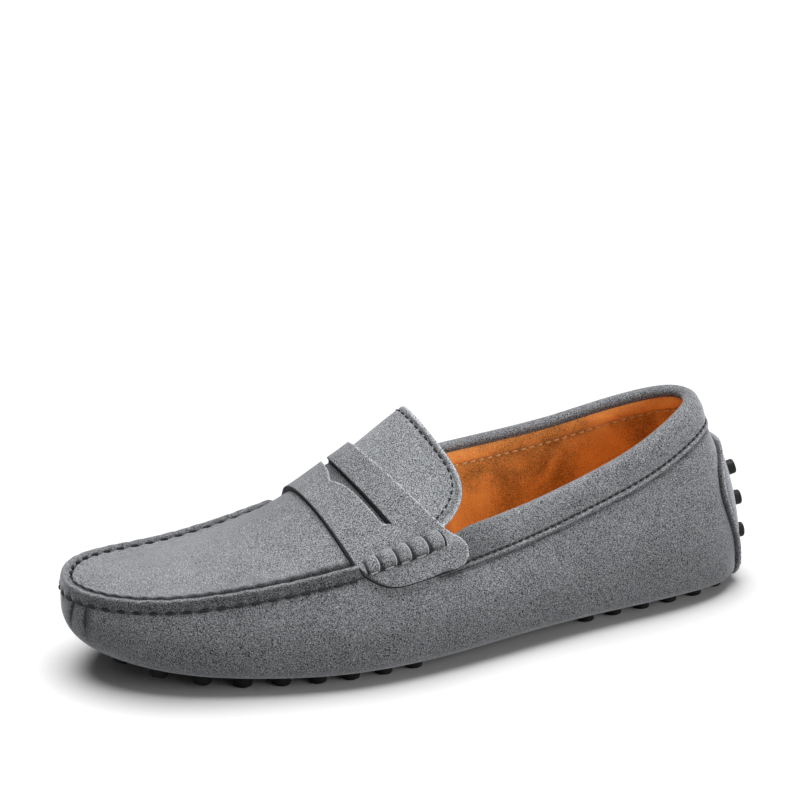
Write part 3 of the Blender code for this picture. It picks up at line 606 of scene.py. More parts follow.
THREAD_TAN = (0.95, 0.70, 0.40)
LINING_PITCH, LINING_STITCH, LINING_THREAD, LINING_SINK = 3.6, 2.5, 0.4, 0.3
LINING_SEWN = -0.03         # rung where the row of stitches ends on each side
tan_thread = thread("tan_thread", THREAD_TAN)
row_u = np.arange(inner_u(LINING_SEWN) - PERIOD, outer_u(LINING_SEWN), 1.0)
row_v = wall_at_drop(PAD_DROP, row_u)
beside = wall(row_v[:, None] + np.array([-0.02, 0.0, 0.02]), row_u[:, None])
row_in = normals(beside)[:, 1]
row_path = beside[:, 1] + row_in * (SUEDE + LINING - LINING_SINK)
lining_stitches = piece("lining_stitches", tan_thread, (
    stitches(row_path, row_in, LINING_PITCH, LINING_STITCH, LINING_THREAD, stand=0.75), 0.0))
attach(lining_stitches, "root")


# Insole: a tan suede sock over thin foam, cut to the last and laid loose in the bottom of the shoe.
# It is slightly dished under the foot and rounds over at its edge.
WALL = 2.0                  # suede with its lining
SEAT = 0.3                  # gap between pieces that touch
INSOLE_THICK = 3.0
# Painted shade: the lining's tan suede made darker here, where the overhead light falls straight on the
# insole.
INSOLE_TAN = (0.54, 0.27, 0.09)
INSOLE_INSET = WALL + 3.0
INSOLE_LOW, INSOLE_TOP = 0.12, 0.62         # wall levels of its lower and upper edge
INSOLE_EDGE, INSOLE_DISH = 0.4, 0.7         # thickness at its edge, depth of the dish


def insole(level, along, across):
    """A ruled sheet between the wall's two sides at a level, moved in, on the floor of the shoe."""
    half = ((1 + across) / 2)[..., None]
    outer, inner = along * U_TIP, PERIOD - along * (PERIOD - U_TIP)
    edges = [wall(level, u) + inward(u) * INSOLE_INSET for u in (outer, inner)]
    sheet = edges[0] * half + edges[1] * (1 - half)
    floor = last(outer)[..., COLUMN_LOW] * half[..., 0] + last(inner)[..., COLUMN_LOW] * (1 - half[..., 0])
    sheet[..., 2] = floor + WALL + 2 * SEAT
    return sheet


sock_along = ((1 - np.cos(np.linspace(0.06, np.pi - 0.09, 120))) / 2)[:, None]
sock_across = crowded(61, np.pi / 2)[None, :]
sock_along, sock_across = np.broadcast_arrays(sock_along, sock_across)
edge_round = np.sqrt(np.clip(1 - np.abs(sock_across) ** 14, 0, 1))
dish = INSOLE_DISH * (1 - sock_across ** 2) * np.sin(np.pi * sock_along)
sock_low = insole(INSOLE_LOW, sock_along, sock_across)
sock_high = insole(INSOLE_TOP, sock_along, sock_across)
sock_high = sock_high + UP * (INSOLE_EDGE + (INSOLE_THICK - INSOLE_EDGE) * edge_round - dish)[..., None]
insole_suede = suede("insole_suede", INSOLE_TAN, fleck=2.0, patchy=0.9, sheen=0.15)
insole_sock = piece("insole_sock", insole_suede, *slab(sock_low, sock_high))
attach(insole_sock, "root")
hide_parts("insole")


# Sole: a moulded black rubber panel in the opening underneath, with round nubs that the shoe stands on.
# Panel and nubs are one moulding; the nubs near the floor end level with it.
NUB_RADIUS, NUB_HEIGHT = 3.5, 5.5
NUB_LEVEL = 1.0             # nubs this close to the floor are cut level with it
NUB_INSET = 4.1             # from the edge of the panel to the edge row
NUB_LEAN = 0.3              # most that a nub leans to the toe, for each millimetre down
NUB_PITCH = 15.3
NUB_ROUND, NUB_FILLET, NUB_SINK, NUB_DOME = 0.8, 0.7, 0.8, 0.12
NUB_ACROSS = (0.3, 1.0, 0.2)                # a direction that no nub stands along
NUB_STEP = 0.02             # stations ahead and behind that give the rise of the panel
HEEL_ROWS = (12.5, 24.5, 37.0, 50.0, 63.0, 76.0)
FORE_ROWS = (155.0, 167.5, 180.5, 193.0, 206.0, 219.5, 233.0, 246.5, 256.3)
RUBBER_BLACK = (0.007, 0.0068, 0.0066)


def rubber(name, colour):
    """Moulded rubber: a faint dusty mottle over black and a fine moulded grain."""
    material, start = blank(name)
    dust = noise(start, 130.0, 4.0)
    grain = noise(start, 2200.0, 2.0)
    bump = start.node("ShaderNodeBump", {}, {"Strength": 0.25, "Distance": 0.2 * MM, "Height": grain})
    surface(start, colour, 0.5 + dust + 0.5 * grain, {
        "Roughness": 0.42 + 0.25 * dust, "Specular IOR Level": 0.16, "Normal": bump})
    return material


def panel_edges(along, inset):
    """Edge of the panel on the outer and on the inner side, moved in by an inset."""
    sides = along * U_TIP, PERIOD - along * (PERIOD - U_TIP)
    return [wall(-1.0, u) + inward(u) * (SEAT + inset) for u in sides]


def studs(base, axis, radius, height, sink):
    """Pegs turned about their axes: a fillet at the foot, a straight side, a rounded rim, a domed end."""
    reach = np.broadcast_to(height, base.shape[:1])[:, None]
    bend = np.linspace(0, np.pi / 2, 5)
    fillet, rounded_rim = NUB_FILLET * (1 - np.sin(bend)), NUB_ROUND * (1 - np.cos(bend))
    out = np.concatenate([[0.0], radius + fillet, radius - rounded_rim, [radius * 0.5, 0.0]])
    low = np.concatenate([[-sink], NUB_FILLET * (1 - np.cos(bend))])[None, :] + 0 * reach
    end = reach + np.concatenate([NUB_ROUND * (np.sin(bend) - 1) - NUB_DOME, [-NUB_DOME / 4, 0.0]])[None, :]
    along = np.concatenate([low, end], 1)
    side = unit(np.cross(axis, NUB_ACROSS))
    other = np.cross(axis, side)
    turn = np.linspace(0, 2 * np.pi, 25)[:, None]
    spoke = np.cos(turn) * side[:, None] + np.sin(turn) * other[:, None]
    return (base[:, None, None] + axis[:, None, None] * along[:, :, None, None]
            + spoke[:, None] * out[None, :, None, None])


black_rubber = rubber("black_rubber", RUBBER_BLACK)
panel_along = ((1 - np.cos(np.linspace(0, np.pi, 90))) / 2)[:, None]
panel_half = ((1 + np.linspace(-1, 1, 25)) / 2)[None, :, None]
panel_out, panel_in = panel_edges(panel_along, 0.0)
panel_low = panel_out * panel_half + panel_in * (1 - panel_half)
nub_stations = np.linspace(0.02, 0.98, 200)
nub_x = panel_edges(nub_stations, NUB_INSET)[0][:, 0]
feet, axes, reaches = [], [], []
for x in HEEL_ROWS + FORE_ROWS:
    station = np.interp(x, nub_x, nub_stations)
    start, end = panel_edges(np.array(station), NUB_INSET)
    beside = [sum(panel_edges(np.array(station + step), NUB_INSET)) for step in (-NUB_STEP, NUB_STEP)]
    rise = beside[1] - beside[0]
    count = round(np.linalg.norm(end - start) / NUB_PITCH) + 1
    across = np.linspace(0, 1, count) if count > 1 else np.array([0.5])
    spot = start + (end - start) * across[:, None]
    level = (spot[:, 2] < NUB_HEIGHT + NUB_LEVEL)[:, None]
    feet.append(spot)
    axes.append(unit(np.where(level, -UP, np.array([min(rise[2] / rise[0], NUB_LEAN), 0, -1.0]))))
    reaches.append(np.where(level[:, 0], spot[:, 2], NUB_HEIGHT))
nubs = studs(np.concatenate(feet), np.concatenate(axes), NUB_RADIUS, np.concatenate(reaches), NUB_SINK)
sole_panel = piece("sole_panel", black_rubber, *slab(panel_low, panel_low + UP * WALL), (nubs, 0.0))
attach(sole_panel, "root")
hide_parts("sole")


# Tongue: a flap of lined suede that carries the apron on behind the throat, under the strap.
# Its edge is turned over a thin piping and sewn down by machine a couple of millimetres inside.
TONGUE_END, TONGUE_SHOULDER = -0.146, 0.015     # rungs of its end in the middle and at its sides
TONGUE_SIDE, TONGUE_SQUARE = 0.96, 9
TONGUE_GAP = 0.003          # rungs, between the tongue and the apron
TONGUE_HALF = 36.0          # half its width
TONGUE_THICK, TONGUE_FACE = 2.2, 1.3        # with its lining, and the suede alone
TONGUE_INSET, TONGUE_LAP = 0.8, 0.2         # of the lining from the edge, and into the suede
# Painted light: the tongue is the same grey suede made paler, for the light that falls on it.
TONGUE_GREY = (0.182, 0.187, 0.196)
TONGUE_HEM = 2.3            # from the edge to the stitches
HEM_DEEP, HEM_DENT, HEM_SINK = 0.45, 0.6, 0.4           # line that the stitches pull in, and their depth
BRIM_DROP, BRIM_ROUND, BRIM_UNDER = 0.45, 0.9, 0.3      # of the edge, rounded over its piping
HEM_DARK, BRIM_LIGHT, BRIM_WIDE = 0.9, 0.7, (1.5, 0.4)
RUNG_MM = 155.0             # length of one rung's unit along the foot
TONGUE_PITCH, TONGUE_STITCH, TONGUE_THREAD = 3.0, 2.2, 0.45


def tongue(along, side, inset=0.0):
    """The apron carried on to a squared round end behind the throat; an inset moves the end in."""
    across = side * (TONGUE_SIDE - inset / TONGUE_HALF)
    square = np.abs(side) ** TONGUE_SQUARE
    end = TONGUE_END * (1 - square) + TONGUE_SHOULDER * square + inset / RUNG_MM
    return apron((THROAT - TONGUE_GAP) * (1 - along) + end * along, across)


flap_along = np.sin(np.linspace(0, 1, 70) * np.pi / 2)[:, None]
flap_side = crowded(81, np.pi / 2)[None, :]
flap = tongue(flap_along, flap_side)
flap_up = -normals(flap)
hem_side = crowded(400, np.pi / 2)
flap_edge = np.linalg.norm(flap[:, :, None] - tongue(np.ones(400), hem_side), axis=-1).min(-1)
hem = HEM_DEEP * np.exp(-((flap_edge - TONGUE_HEM) / HEM_DENT) ** 2)
brim = BRIM_DROP * (1 - np.sqrt(np.clip(1 - np.clip(1 - flap_edge / BRIM_ROUND, 0, 1) ** 2, 0, 1)))
flap_top = flap - flap_up * (hem + brim)[..., None]
flap_low = flap - flap_up * (TONGUE_FACE - BRIM_UNDER * brim)[..., None]
# Painted shade along the stitched line and painted highlight on the rounded edge.
flap_shade = HEM_DARK * hem - BRIM_LIGHT * smooth(flap_edge, *BRIM_WIDE)
lit_suede = suede("lit_suede", TONGUE_GREY, fleck=5.6)
tongue_flap = piece("tongue_flap", lit_suede, *slab(flap_low, flap_top, flap_shade))
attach(tongue_flap, "root")
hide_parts("tongue")

under = tongue(flap_along, flap_side, TONGUE_INSET)
tongue_lining = piece("tongue_lining", lining_suede, *slab(
    under - flap_up * TONGUE_THICK, under - flap_up * (TONGUE_FACE - TONGUE_LAP)))
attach(tongue_lining, "root")
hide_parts("tongue")

hem_path = tongue(np.ones(400), hem_side, TONGUE_HEM)
hem_near = tongue(np.array([[0.96], [1.0], [1.04]]), hem_side[None, :], TONGUE_HEM)
hem_up = -normals(hem_near)[1]
tongue_stitches = piece("tongue_stitches", dark_thread_and_shadow, (
    stitches(hem_path - hem_up * HEM_SINK, hem_up, TONGUE_PITCH, TONGUE_STITCH, TONGUE_THREAD), 0.0))
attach(tongue_stitches, "root")


# Strap: a single band of suede over the instep with raw cut edges and a slot cut through it.
# Its ends go over the seam and hang as rounded tabs on the wall, held by the sewn rolls.
STRAP_THICK, STRAP_SEAT = 1.8, SEAT + 0.1
STRAP_BACK, STRAP_FRONT, STRAP_SKEW = -0.008, 0.246, 0.02       # rungs of its edges, and their skew
TAB_DROP, TAB_BACK, TAB_SLANT = 9.0, 0.022, 0.08
TAB_NARROW, TAB_SQUARE = 0.38, 6            # share of its width that a tab's round end takes off, squareness
TAB_LIFT = 1.3              # where a tab lies over the end of the collar binding
LIFT_DEPTH, LIFT_SHARES = 0.25, (0.45, 0.1)             # of the tab and of the strap's width, none to full
SLOT_BACK, SLOT_SKEW, SLOT_HALF = 0.084, 0.026, 0.76
SLOT_TIP, SLOT_LIP, SLOT_NOTCH = 0.060, 0.024, 0.21
SLOT_ROUND = 0.06           # share of the slot's half length that its round end takes
CUT_GREY = (0.125, 0.128, 0.134)
CUT_ROUND, CUT_ANGLE = 0.35, 50.0
REAR_ROWS, FRONT_ROWS, STRAP_PASSES = 22, 40, 6
NOTCH_SPAN, END_SPAN = 0.3, 0.09            # shares of the slot's half length where the mesh is finer
EDGE_SHADOW, EDGE_HIGHLIGHT = 0.95, 1.3              # painted shade on the cut edges away from the light, painted highlight on those towards it
DARK_WIDE, PALE_WIDE = 0.3, 0.55
PAST_SLOT = 9.0             # widths, which keep the slot's shades off the strap beyond its ends
cut_suede = suede("cut_suede", CUT_GREY, fleck=2.0, patchy=0.3)


def soften(points, passes):
    """Rounds a grid's columns by averaging each point with its neighbours; the ends stay."""
    for _ in range(passes):
        points[1:-1] = (points[:-2] + 2 * points[1:-1] + points[2:]) / 4
    return points


def strap_row(across, depth, share):
    """Seat of the strap at shares of its width: on the apron, or on the wall at a depth of the tab."""
    corner = np.sqrt(np.clip(1 - depth ** TAB_SQUARE, 0, 1))
    back = STRAP_BACK - TAB_BACK * np.clip(depth * 3, 0, 1)
    front = STRAP_FRONT + STRAP_SKEW * np.clip(across, -1, 1) - TAB_SLANT * depth
    half = (front - back) / 2 * (1 - TAB_NARROW + TAB_NARROW * corner)
    middle = (back + front) / 2
    rung = middle - half + 2 * half * share
    hung = wall(wall_at_drop(TAB_DROP * depth, outer_u(rung)), outer_u(rung))
    far = wall(wall_at_drop(TAB_DROP * depth, inner_u(rung)), inner_u(rung))
    sides = np.where((across > 0)[..., None], hung, far)
    return np.where((np.abs(across) > 1)[..., None], sides, apron(rung, np.clip(across, -1, 1)))


tab = 1 - np.linspace(0, 1, 26) ** 1.6
near_notch = np.linspace(0, SLOT_HALF * NOTCH_SPAN, 24)
near_end = SLOT_HALF * (1 - np.linspace(0, 1, 14) ** 2 * END_SPAN)
body = np.concatenate([np.sin(np.linspace(0, 1, 61) * 1.2) / np.sin(1.2), near_notch, near_end])
body = np.unique(np.round(np.concatenate([body, -body]), 5))[::-1]
strap_across = np.concatenate([0 * tab + 2, body, 0 * tab - 2])[:, None]
strap_depth = np.concatenate([tab, 0 * body, tab[::-1]])[:, None]
place = np.clip(np.abs(strap_across) / SLOT_HALF, 0, 1)
tip = np.exp(-(place / SLOT_NOTCH) ** 1.4)
closing = np.clip((place - (1 - SLOT_ROUND)) / SLOT_ROUND, 0, 1)
lip = (SLOT_LIP + (SLOT_TIP - SLOT_LIP) * tip) * np.sqrt(1 - closing ** 2)
on_apron = np.clip(strap_across, -1, 1)
width = STRAP_FRONT + STRAP_SKEW * on_apron - STRAP_BACK
slit = (SLOT_BACK + SLOT_SKEW * on_apron - STRAP_BACK) / width
ease = [(1 - np.cos(np.linspace(0, np.pi, rows)))[None, :] / 2 for rows in (REAR_ROWS, FRONT_ROWS)]
lip_share = slit + lip / width
shares = [ease[0] * slit, lip_share + ease[1] * (1 - lip_share)]
bands = [soften(strap_row(strap_across, strap_depth, part), STRAP_PASSES) for part in shares]
whole = normals(np.concatenate(bands, 1)[:, np.r_[0:REAR_ROWS, REAR_ROWS + 1:REAR_ROWS + FRONT_ROWS]])
ups = whole[:, :REAR_ROWS], np.concatenate([whole[:, REAR_ROWS - 1:REAR_ROWS], whole[:, REAR_ROWS:]], 1)
over_band = [TAB_LIFT * smooth(strap_depth, 0, LIFT_DEPTH) * smooth(part, *LIFT_SHARES) for part in shares]
laid = [band + up * (STRAP_SEAT + raised)[..., None] for band, up, raised in zip(bands, ups, over_band)]
width_mm = width * RUNG_MM
past_slot = PAST_SLOT * (place >= 1)
pale_mm = shares[0] * width_mm, (shares[1] - lip_share + past_slot) * width_mm
dark_mm = (slit - shares[0] + past_slot) * width_mm, (1 - shares[1]) * width_mm
# Painted shade along the cut edges away from the light and painted highlight along those towards it.
painted_edges = [EDGE_SHADOW * np.exp(-(dark / DARK_WIDE) ** 2) - EDGE_HIGHLIGHT * np.exp(-(pale / PALE_WIDE) ** 2)
       for dark, pale in zip(dark_mm, pale_mm)]
strap = piece("strap", grey_suede, *zip(laid, painted_edges), turn=False)
strap.data.materials.append(cut_suede)
thick = strap.modifiers.new("thickness", "SOLIDIFY")
thick.thickness = STRAP_THICK * MM
thick.offset = 1.0
thick.material_offset_rim = 1
rounded = strap.modifiers.new("cut_edge", "BEVEL")
rounded.width = CUT_ROUND * MM
rounded.segments = 2
rounded.limit_method = "ANGLE"
rounded.angle_limit = np.radians(CUT_ANGLE)
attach(strap, "root")
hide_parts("strap")

SHADOW_LINE_THICK, SHADOW_LINE_SINK = 0.58, 0.3             # painted shadow: a dark tube along the edges that the light doesn't reach


def strand(line, rise, lift, radius):
    """A tube of one radius laid along a line and lifted out of it: a thread, and also the dark lines of
    painted shadow.
    """
    return tube(line + rise * lift, rise, np.full(len(line), radius))


slot_rows = slice(np.argmax(place[:, 0] < 1), len(place) - np.argmax(place[::-1, 0] < 1))
edge_line, edge_up = [np.concatenate([
    rear[0], front[0], front[1:-1, -1], front[-1, ::-1], rear[-1, ::-1]]) for rear, front in (laid, ups)]
slot_line, slot_up = laid[0][slot_rows, -1], ups[0][slot_rows, -1]
# Painted shadow: dark tubes under the strap's front edge, round the tabs and under the slot's rear edge.
shadow_lines = [strand(line, up, -SHADOW_LINE_SINK, SHADOW_LINE_THICK) for line, up in ((edge_line, edge_up), (slot_line, slot_up))]
painted_edge_shadow = piece("painted_edge_shadow", dark_thread_and_shadow, *[(line, 0.0) for line in shadow_lines])
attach(painted_edge_shadow, "root")


# Rolls: at each end of the strap its suede is gathered over the seam into five plump lobes.
# A fold parts one lobe from the next: its shade is painted on the lobes and drawn as a dark tube along it.
# A turn of pale thread wraps the roll beside each fold; pale stitches run along the lower edge from hole to
# hole.
ROLL_PINCHES = np.array([0.024, 0.074, 0.124, 0.165, 0.211, 0.247])     # rungs between the lobes
ROLL_SIDES = {"roll_outer": (1, 0.247), "roll_inner": (-1, 0.195)}      # side of the foot, rung of its front
ROLL_EDGE, ROLL_REACH, ROLL_HEIGHT, ROLL_TAPER = 1.8, 6.3, 3.3, 0.4
ROLL_SINK, ROLL_BLUNT = 0.35, 0.015
PINCH_SHADE, PINCH_WIDE = 0.95, 0.13
HOLE_TALL, HOLE_WIDE = 0.3, 0.18
FOLD_LOW, FOLD_HIGH, FOLD_STEP, FOLD_PASSES = -6.0, 12.0, 0.25, 30
THREAD_PALE = (0.30, 0.305, 0.31)
WRAP_THREAD, WRAP_LIFT, WRAP_COLUMNS = 0.24, 0.12, 5    # radius, lift, columns of the mesh from the fold
EDGE_THREAD, EDGE_LIFT, EDGE_GAP = 0.36, 0.55, 0.18     # radius, lift, share of a lobe free at each end
FOLD_SHADOW, FOLD_LIFT, RIM_LIFT = 0.4, 0.25, 0.3       # radius of the painted shadow tubes, and their lift between lobes and along the edge
FIRST_FOLD = 3              # columns from the end of the roll to its first fold
pale_thread = thread("pale_thread", THREAD_PALE)


def fold(side, rung):
    """Strap's face over its fold and the way out of it, by millimetres from the rim and by rungs."""
    path = np.arange(FOLD_LOW, FOLD_HIGH, FOLD_STEP)[:, None]
    u = outer_u(rung) if side > 0 else inner_u(rung)
    down = wall(wall_at_drop(np.maximum(-path, 0), u), u)
    half = np.linalg.norm(seam(outer_u(rung)) - seam(inner_u(rung)), axis=-1) / 2
    over = apron(rung, side * (1 - np.maximum(path - FIN_WIDTH, 0) / half))
    chord = np.clip(path / FIN_WIDTH, 0, 1)[..., None]
    seat = soften(down * (1 - chord) + over * chord, FOLD_PASSES)
    out = normals(seat) * side
    return seat + out * (STRAP_SEAT + STRAP_THICK), out


def at_path(grid, path):
    """Points of a fold's grid at millimetres from the rim, blended between the rows beside them."""
    row = (path - FOLD_LOW) / FOLD_STEP
    low = row.astype(int)
    column = np.arange(grid.shape[1])
    return grid[low, column] + (grid[low + 1, column] - grid[low, column]) * (row - low)[..., None]


for name, (side, roll_end) in ROLL_SIDES.items():
    spread = (ROLL_PINCHES - ROLL_PINCHES[0]) * (roll_end - ROLL_PINCHES[0]) / np.ptp(ROLL_PINCHES)
    pinches = ROLL_PINCHES[0] + spread
    roll_rung = np.linspace(pinches[0], pinches[-1], 181)
    face, face_out = fold(side, roll_rung)
    phase = np.interp(roll_rung, pinches, np.arange(len(pinches)))
    along = np.linspace(0, 1, len(roll_rung))
    bulge = np.abs(np.sin(np.pi * phase)) ** 0.55
    small = 1 - ROLL_TAPER * along ** 2
    t = np.linspace(-1, 1, 33)[:, None]
    low_edge, high_edge = -ROLL_EDGE + 0 * bulge, ROLL_REACH * small * (0.85 + 0.15 * bulge)
    path = (low_edge + high_edge) / 2 + (high_edge - low_edge) / 2 * t
    blunt = np.sqrt(np.clip(np.minimum(along, 1 - along) / ROLL_BLUNT, 0, 1))
    swell = ROLL_HEIGHT * small * (0.2 + 0.8 * bulge) * blunt * np.sqrt(np.clip(1 - np.abs(t) ** 2.4, 0, 1))
    base, out = at_path(face, path), unit(at_path(face_out, path))
    dome = base + out * (swell - ROLL_SINK * (1 - swell / ROLL_HEIGHT))[..., None]
    # Painted shade: dark at the folds between the lobes, along the lobes' edges, and in the holes at the
    # lower edge.
    beside = np.abs((phase + 0.5) % 1 - 0.5)
    pinched = np.exp(-(beside / PINCH_WIDE) ** 2) + np.exp(-((1 - np.abs(t)) / PINCH_WIDE) ** 2)
    hole_shade = np.exp(-((t + 1) / HOLE_TALL) ** 2) * np.exp(-(beside / HOLE_WIDE) ** 2)
    lobe_shade = np.clip(PINCH_SHADE * pinched + hole_shade, 0, 1)
    gathered = piece(name + "_lobes", grey_suede, *slab(base - out * ROLL_SINK * 2, dome, lobe_shade))
    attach(gathered, "root")
    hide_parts(name)

    knots = np.searchsorted(roll_rung, pinches[:-1] + 1e-6)
    knots[0] += FIRST_FOLD
    # Painted shadow: dark tubes along the folds between the lobes and along the roll's lower edge.
    dark_lines = [strand(dome[:, knot], out[:, knot], FOLD_LIFT, FOLD_SHADOW) for knot in knots]
    dark_lines.append(strand(dome[0], out[0], RIM_LIFT, FOLD_SHADOW))
    fold_shadows = piece(name + "_fold_shadows", dark_thread_and_shadow, *[(line, 0.0) for line in dark_lines])
    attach(fold_shadows, "root")

    wraps = knots + WRAP_COLUMNS
    sewn = [strand(dome[:, wrap], out[:, wrap], WRAP_LIFT, WRAP_THREAD) for wrap in wraps]
    ends = np.append(knots, len(roll_rung) - 1)
    for first, final in zip(ends, ends[1:]):
        free = EDGE_GAP * (final - first)
        dash = np.round(np.linspace(first + free, final - free, 9)).astype(int)
        round_end = EDGE_THREAD * np.sqrt(1 - np.linspace(-1, 1, 9) ** 4)
        sewn.append(tube(dome[0, dash] + out[0, dash] * EDGE_LIFT, out[0, dash], round_end))
    wrapped = piece(name + "_thread", pale_thread, *[(line, 0.0) for line in sewn])
    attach(wrapped, "root")


# Collar binding: a band of suede folded over the padded topline from one tab round the heel to the other.
# Its lower edge is turned in and sewn down with one row of stitches, which leaves a narrow raised hem.
BAND_DROP, BAND_INSIDE = 10.4, 0.6
BAND_END = 0.05             # rung where it ends under the strap tab
BAND_HEM, BAND_PAD = 2.4, 2.0               # from its edge to the stitches, thickness over the pad
HEM_RISE, HEM_ROUND = 1.05, 0.8
DIP_DEEP, DIP_WIDE = 0.55, 0.55
PAD_BEGIN, PAD_FULL = 0.2, 6.0              # past the stitches
BAND_SEAT, BAND_UNDER, TAIL_ROUND = 0.12, 0.08, 1.2
THIN_SHARE, THIN_RUNGS = 0.6, (-0.07, -0.01)            # thinner towards the tab that lies over it
DIP_SHADE, EDGE_SHADE, HEM_LIGHT = 0.5, 0.95, 0.2
LINE_WIDE, EDGE_WIDE, HEM_MIDDLE = 0.5, 0.45, 1.3       # widths and place of those shades
FRONT_SHADE, FRONT_RUNGS = 0.42, (-0.2, -0.05)
COLLAR_PITCH, COLLAR_STITCH, COLLAR_THREAD = 3.1, 2.1, 0.42


def band_rise(run, inside, rung):
    """Thickness over the seat: a rounded hem, a dip at the stitches, the padded roll; thin at the tab."""
    hem_edge = HEM_RISE * np.sqrt(np.clip(1 - (1 - np.clip(run / HEM_ROUND, 0, 1)) ** 2, 0, 1))
    dip = DIP_DEEP * np.exp(-((run - BAND_HEM) / DIP_WIDE) ** 2)
    swell = (BAND_PAD - HEM_RISE) * smooth(run, BAND_HEM + PAD_BEGIN, BAND_HEM + PAD_FULL)
    tail = np.sqrt(np.clip(inside / TAIL_ROUND, 0, 1))
    return BAND_SEAT + (hem_edge - dip + swell) * tail * (1 - THIN_SHARE * smooth(rung, *THIN_RUNGS))


band_u = np.linspace(inner_u(BAND_END) - PERIOD, outer_u(BAND_END), 400)
band_drop = BAND_DROP * (1 - np.linspace(0, 1, 44))
band_out = wall(wall_at_drop(band_drop[None, :], band_u[:, None]), band_u[:, None])
rim = band_out[:, -1]
near_rim = wall(np.linspace(1.9, 2.0, 3)[None, :], band_u[:, None])
rim_in = normals(near_rim)[:, -1]
rim_up = unit(near_rim[:, -1] - near_rim[:, -2])
bend = np.linspace(0, np.pi, 14)[1:]
crown_line = (rim[:, None] + rim_in[:, None] * (WALL / 2 * (1 - np.cos(bend)))[None, :, None]
              + rim_up[:, None] * (WALL / 2 * np.sin(bend))[None, :, None])
leg = crown_line[:, -1:] - rim_up[:, None] * (BAND_INSIDE * np.linspace(0, 1, 12)[1:])[None, :, None]
band_seat = np.concatenate([band_out, crown_line, leg], 1)
band_up = -normals(band_seat)
steps = np.linalg.norm(np.diff(band_seat, axis=1), axis=-1)
band_run = np.concatenate([0 * steps[:, :1], np.cumsum(steps, 1)], 1)
band_left = band_run[:, -1:] - band_run
band_rung = rung_of(band_u)[:, None]
band_high = band_seat + band_up * band_rise(band_run, band_left, band_rung)[..., None]
# Painted shade in the dip at the stitches, at the lower edge and towards the front end; painted highlight on
# the hem.
band_shade = (DIP_SHADE * np.exp(-((band_run - BAND_HEM) / LINE_WIDE) ** 2)
              + EDGE_SHADE * np.exp(-(band_run / EDGE_WIDE) ** 2)
              - HEM_LIGHT * np.exp(-((band_run - HEM_MIDDLE) / LINE_WIDE) ** 2)
              + FRONT_SHADE * smooth(band_rung, *FRONT_RUNGS))
band_low = band_seat + band_up * BAND_UNDER
collar_band = piece("collar_binding", grey_suede, *slab(band_low, band_high, band_shade))
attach(collar_band, "root")
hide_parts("collar_band")

row = np.argmin(np.abs(band_run[len(band_u) // 2] - BAND_HEM))
collar_row = stitches(
    band_high[:, row], band_up[:, row], COLLAR_PITCH, COLLAR_STITCH, COLLAR_THREAD, stand=0.5)
collar_stitches = piece("collar_stitches", dark_thread_and_shadow, (collar_row, 0.0))
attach(collar_stitches, "root")


# Heel patch: a piece of suede up the back of the heel, wider at the top, over the heel seam.
# A cord is rolled into its edge, so a raised bead runs up both sides and across the top.
PATCH_SEAT = 0.4
PATCH_LEVELS = (0.25, 0.6, 1.0, 1.17, 1.33, 1.48, 1.57, 1.65, 1.71)         # wall levels
PATCH_HALVES = np.array([14.0, 15.0, 17.0, 22.0, 26.3, 27.0, 24.5, 18.5, 9.0])    # half widths there
PATCH_LEVEL_MM = 58.0       # height of one wall level at the heel
PATCH_THICK, BEAD_HIGH, BEAD_WIDE = 1.5, 0.7, 1.5
PATCH_ROUND, PATCH_UNDER = 0.8, 0.1
FURROW_DEEP, FURROW_WIDE, FURROW_BESIDE = 0.45, 0.5, 1.2
FURROW_SHADE, PATCH_SHADE, PATCH_SHADE_WIDE, BEAD_LIGHT = 0.3, 0.95, 0.3, 0.7
patch_level = np.linspace(PATCH_LEVELS[0], PATCH_LEVELS[-1], 90)[None, :]
patch_side = crowded(71, CROWD)[:, None]
patch_half = spline(PATCH_LEVELS, PATCH_HALVES[:, None])(patch_level)[..., 0]
patch_seat = wall(patch_level, patch_half * patch_side)
patch_out = -normals(patch_seat)
to_side, to_top = (1 - np.abs(patch_side)) * patch_half, (PATCH_LEVELS[-1] - patch_level) * PATCH_LEVEL_MM
patch_edge = np.minimum(to_side, to_top)
bead = BEAD_HIGH * np.exp(-((patch_edge - BEAD_WIDE / 2 - 0.2) / (BEAD_WIDE / 2)) ** 2)
rolled = np.sqrt(np.clip(1 - (1 - np.clip(patch_edge / PATCH_ROUND, 0, 1)) ** 2, 0, 1))
furrow = np.exp(-((patch_edge - BEAD_WIDE - FURROW_BESIDE) / FURROW_WIDE) ** 2)
patch_rise = PATCH_SEAT + (PATCH_THICK + bead - FURROW_DEEP * furrow) * rolled
patch_high = patch_seat + patch_out * patch_rise[..., None]
# Painted shade in the furrow and along the patch's edge; painted highlight on the bead.
patch_dark = FURROW_SHADE * furrow + PATCH_SHADE * np.exp(-(patch_edge / PATCH_SHADE_WIDE) ** 2)
patch_dark = patch_dark - BEAD_LIGHT * bead / BEAD_HIGH
patch_low = patch_seat + patch_out * PATCH_UNDER
heel_patch = piece("heel_backing", grey_suede, *slab(patch_low, patch_high, patch_dark))
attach(heel_patch, "root")
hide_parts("heel_patch")


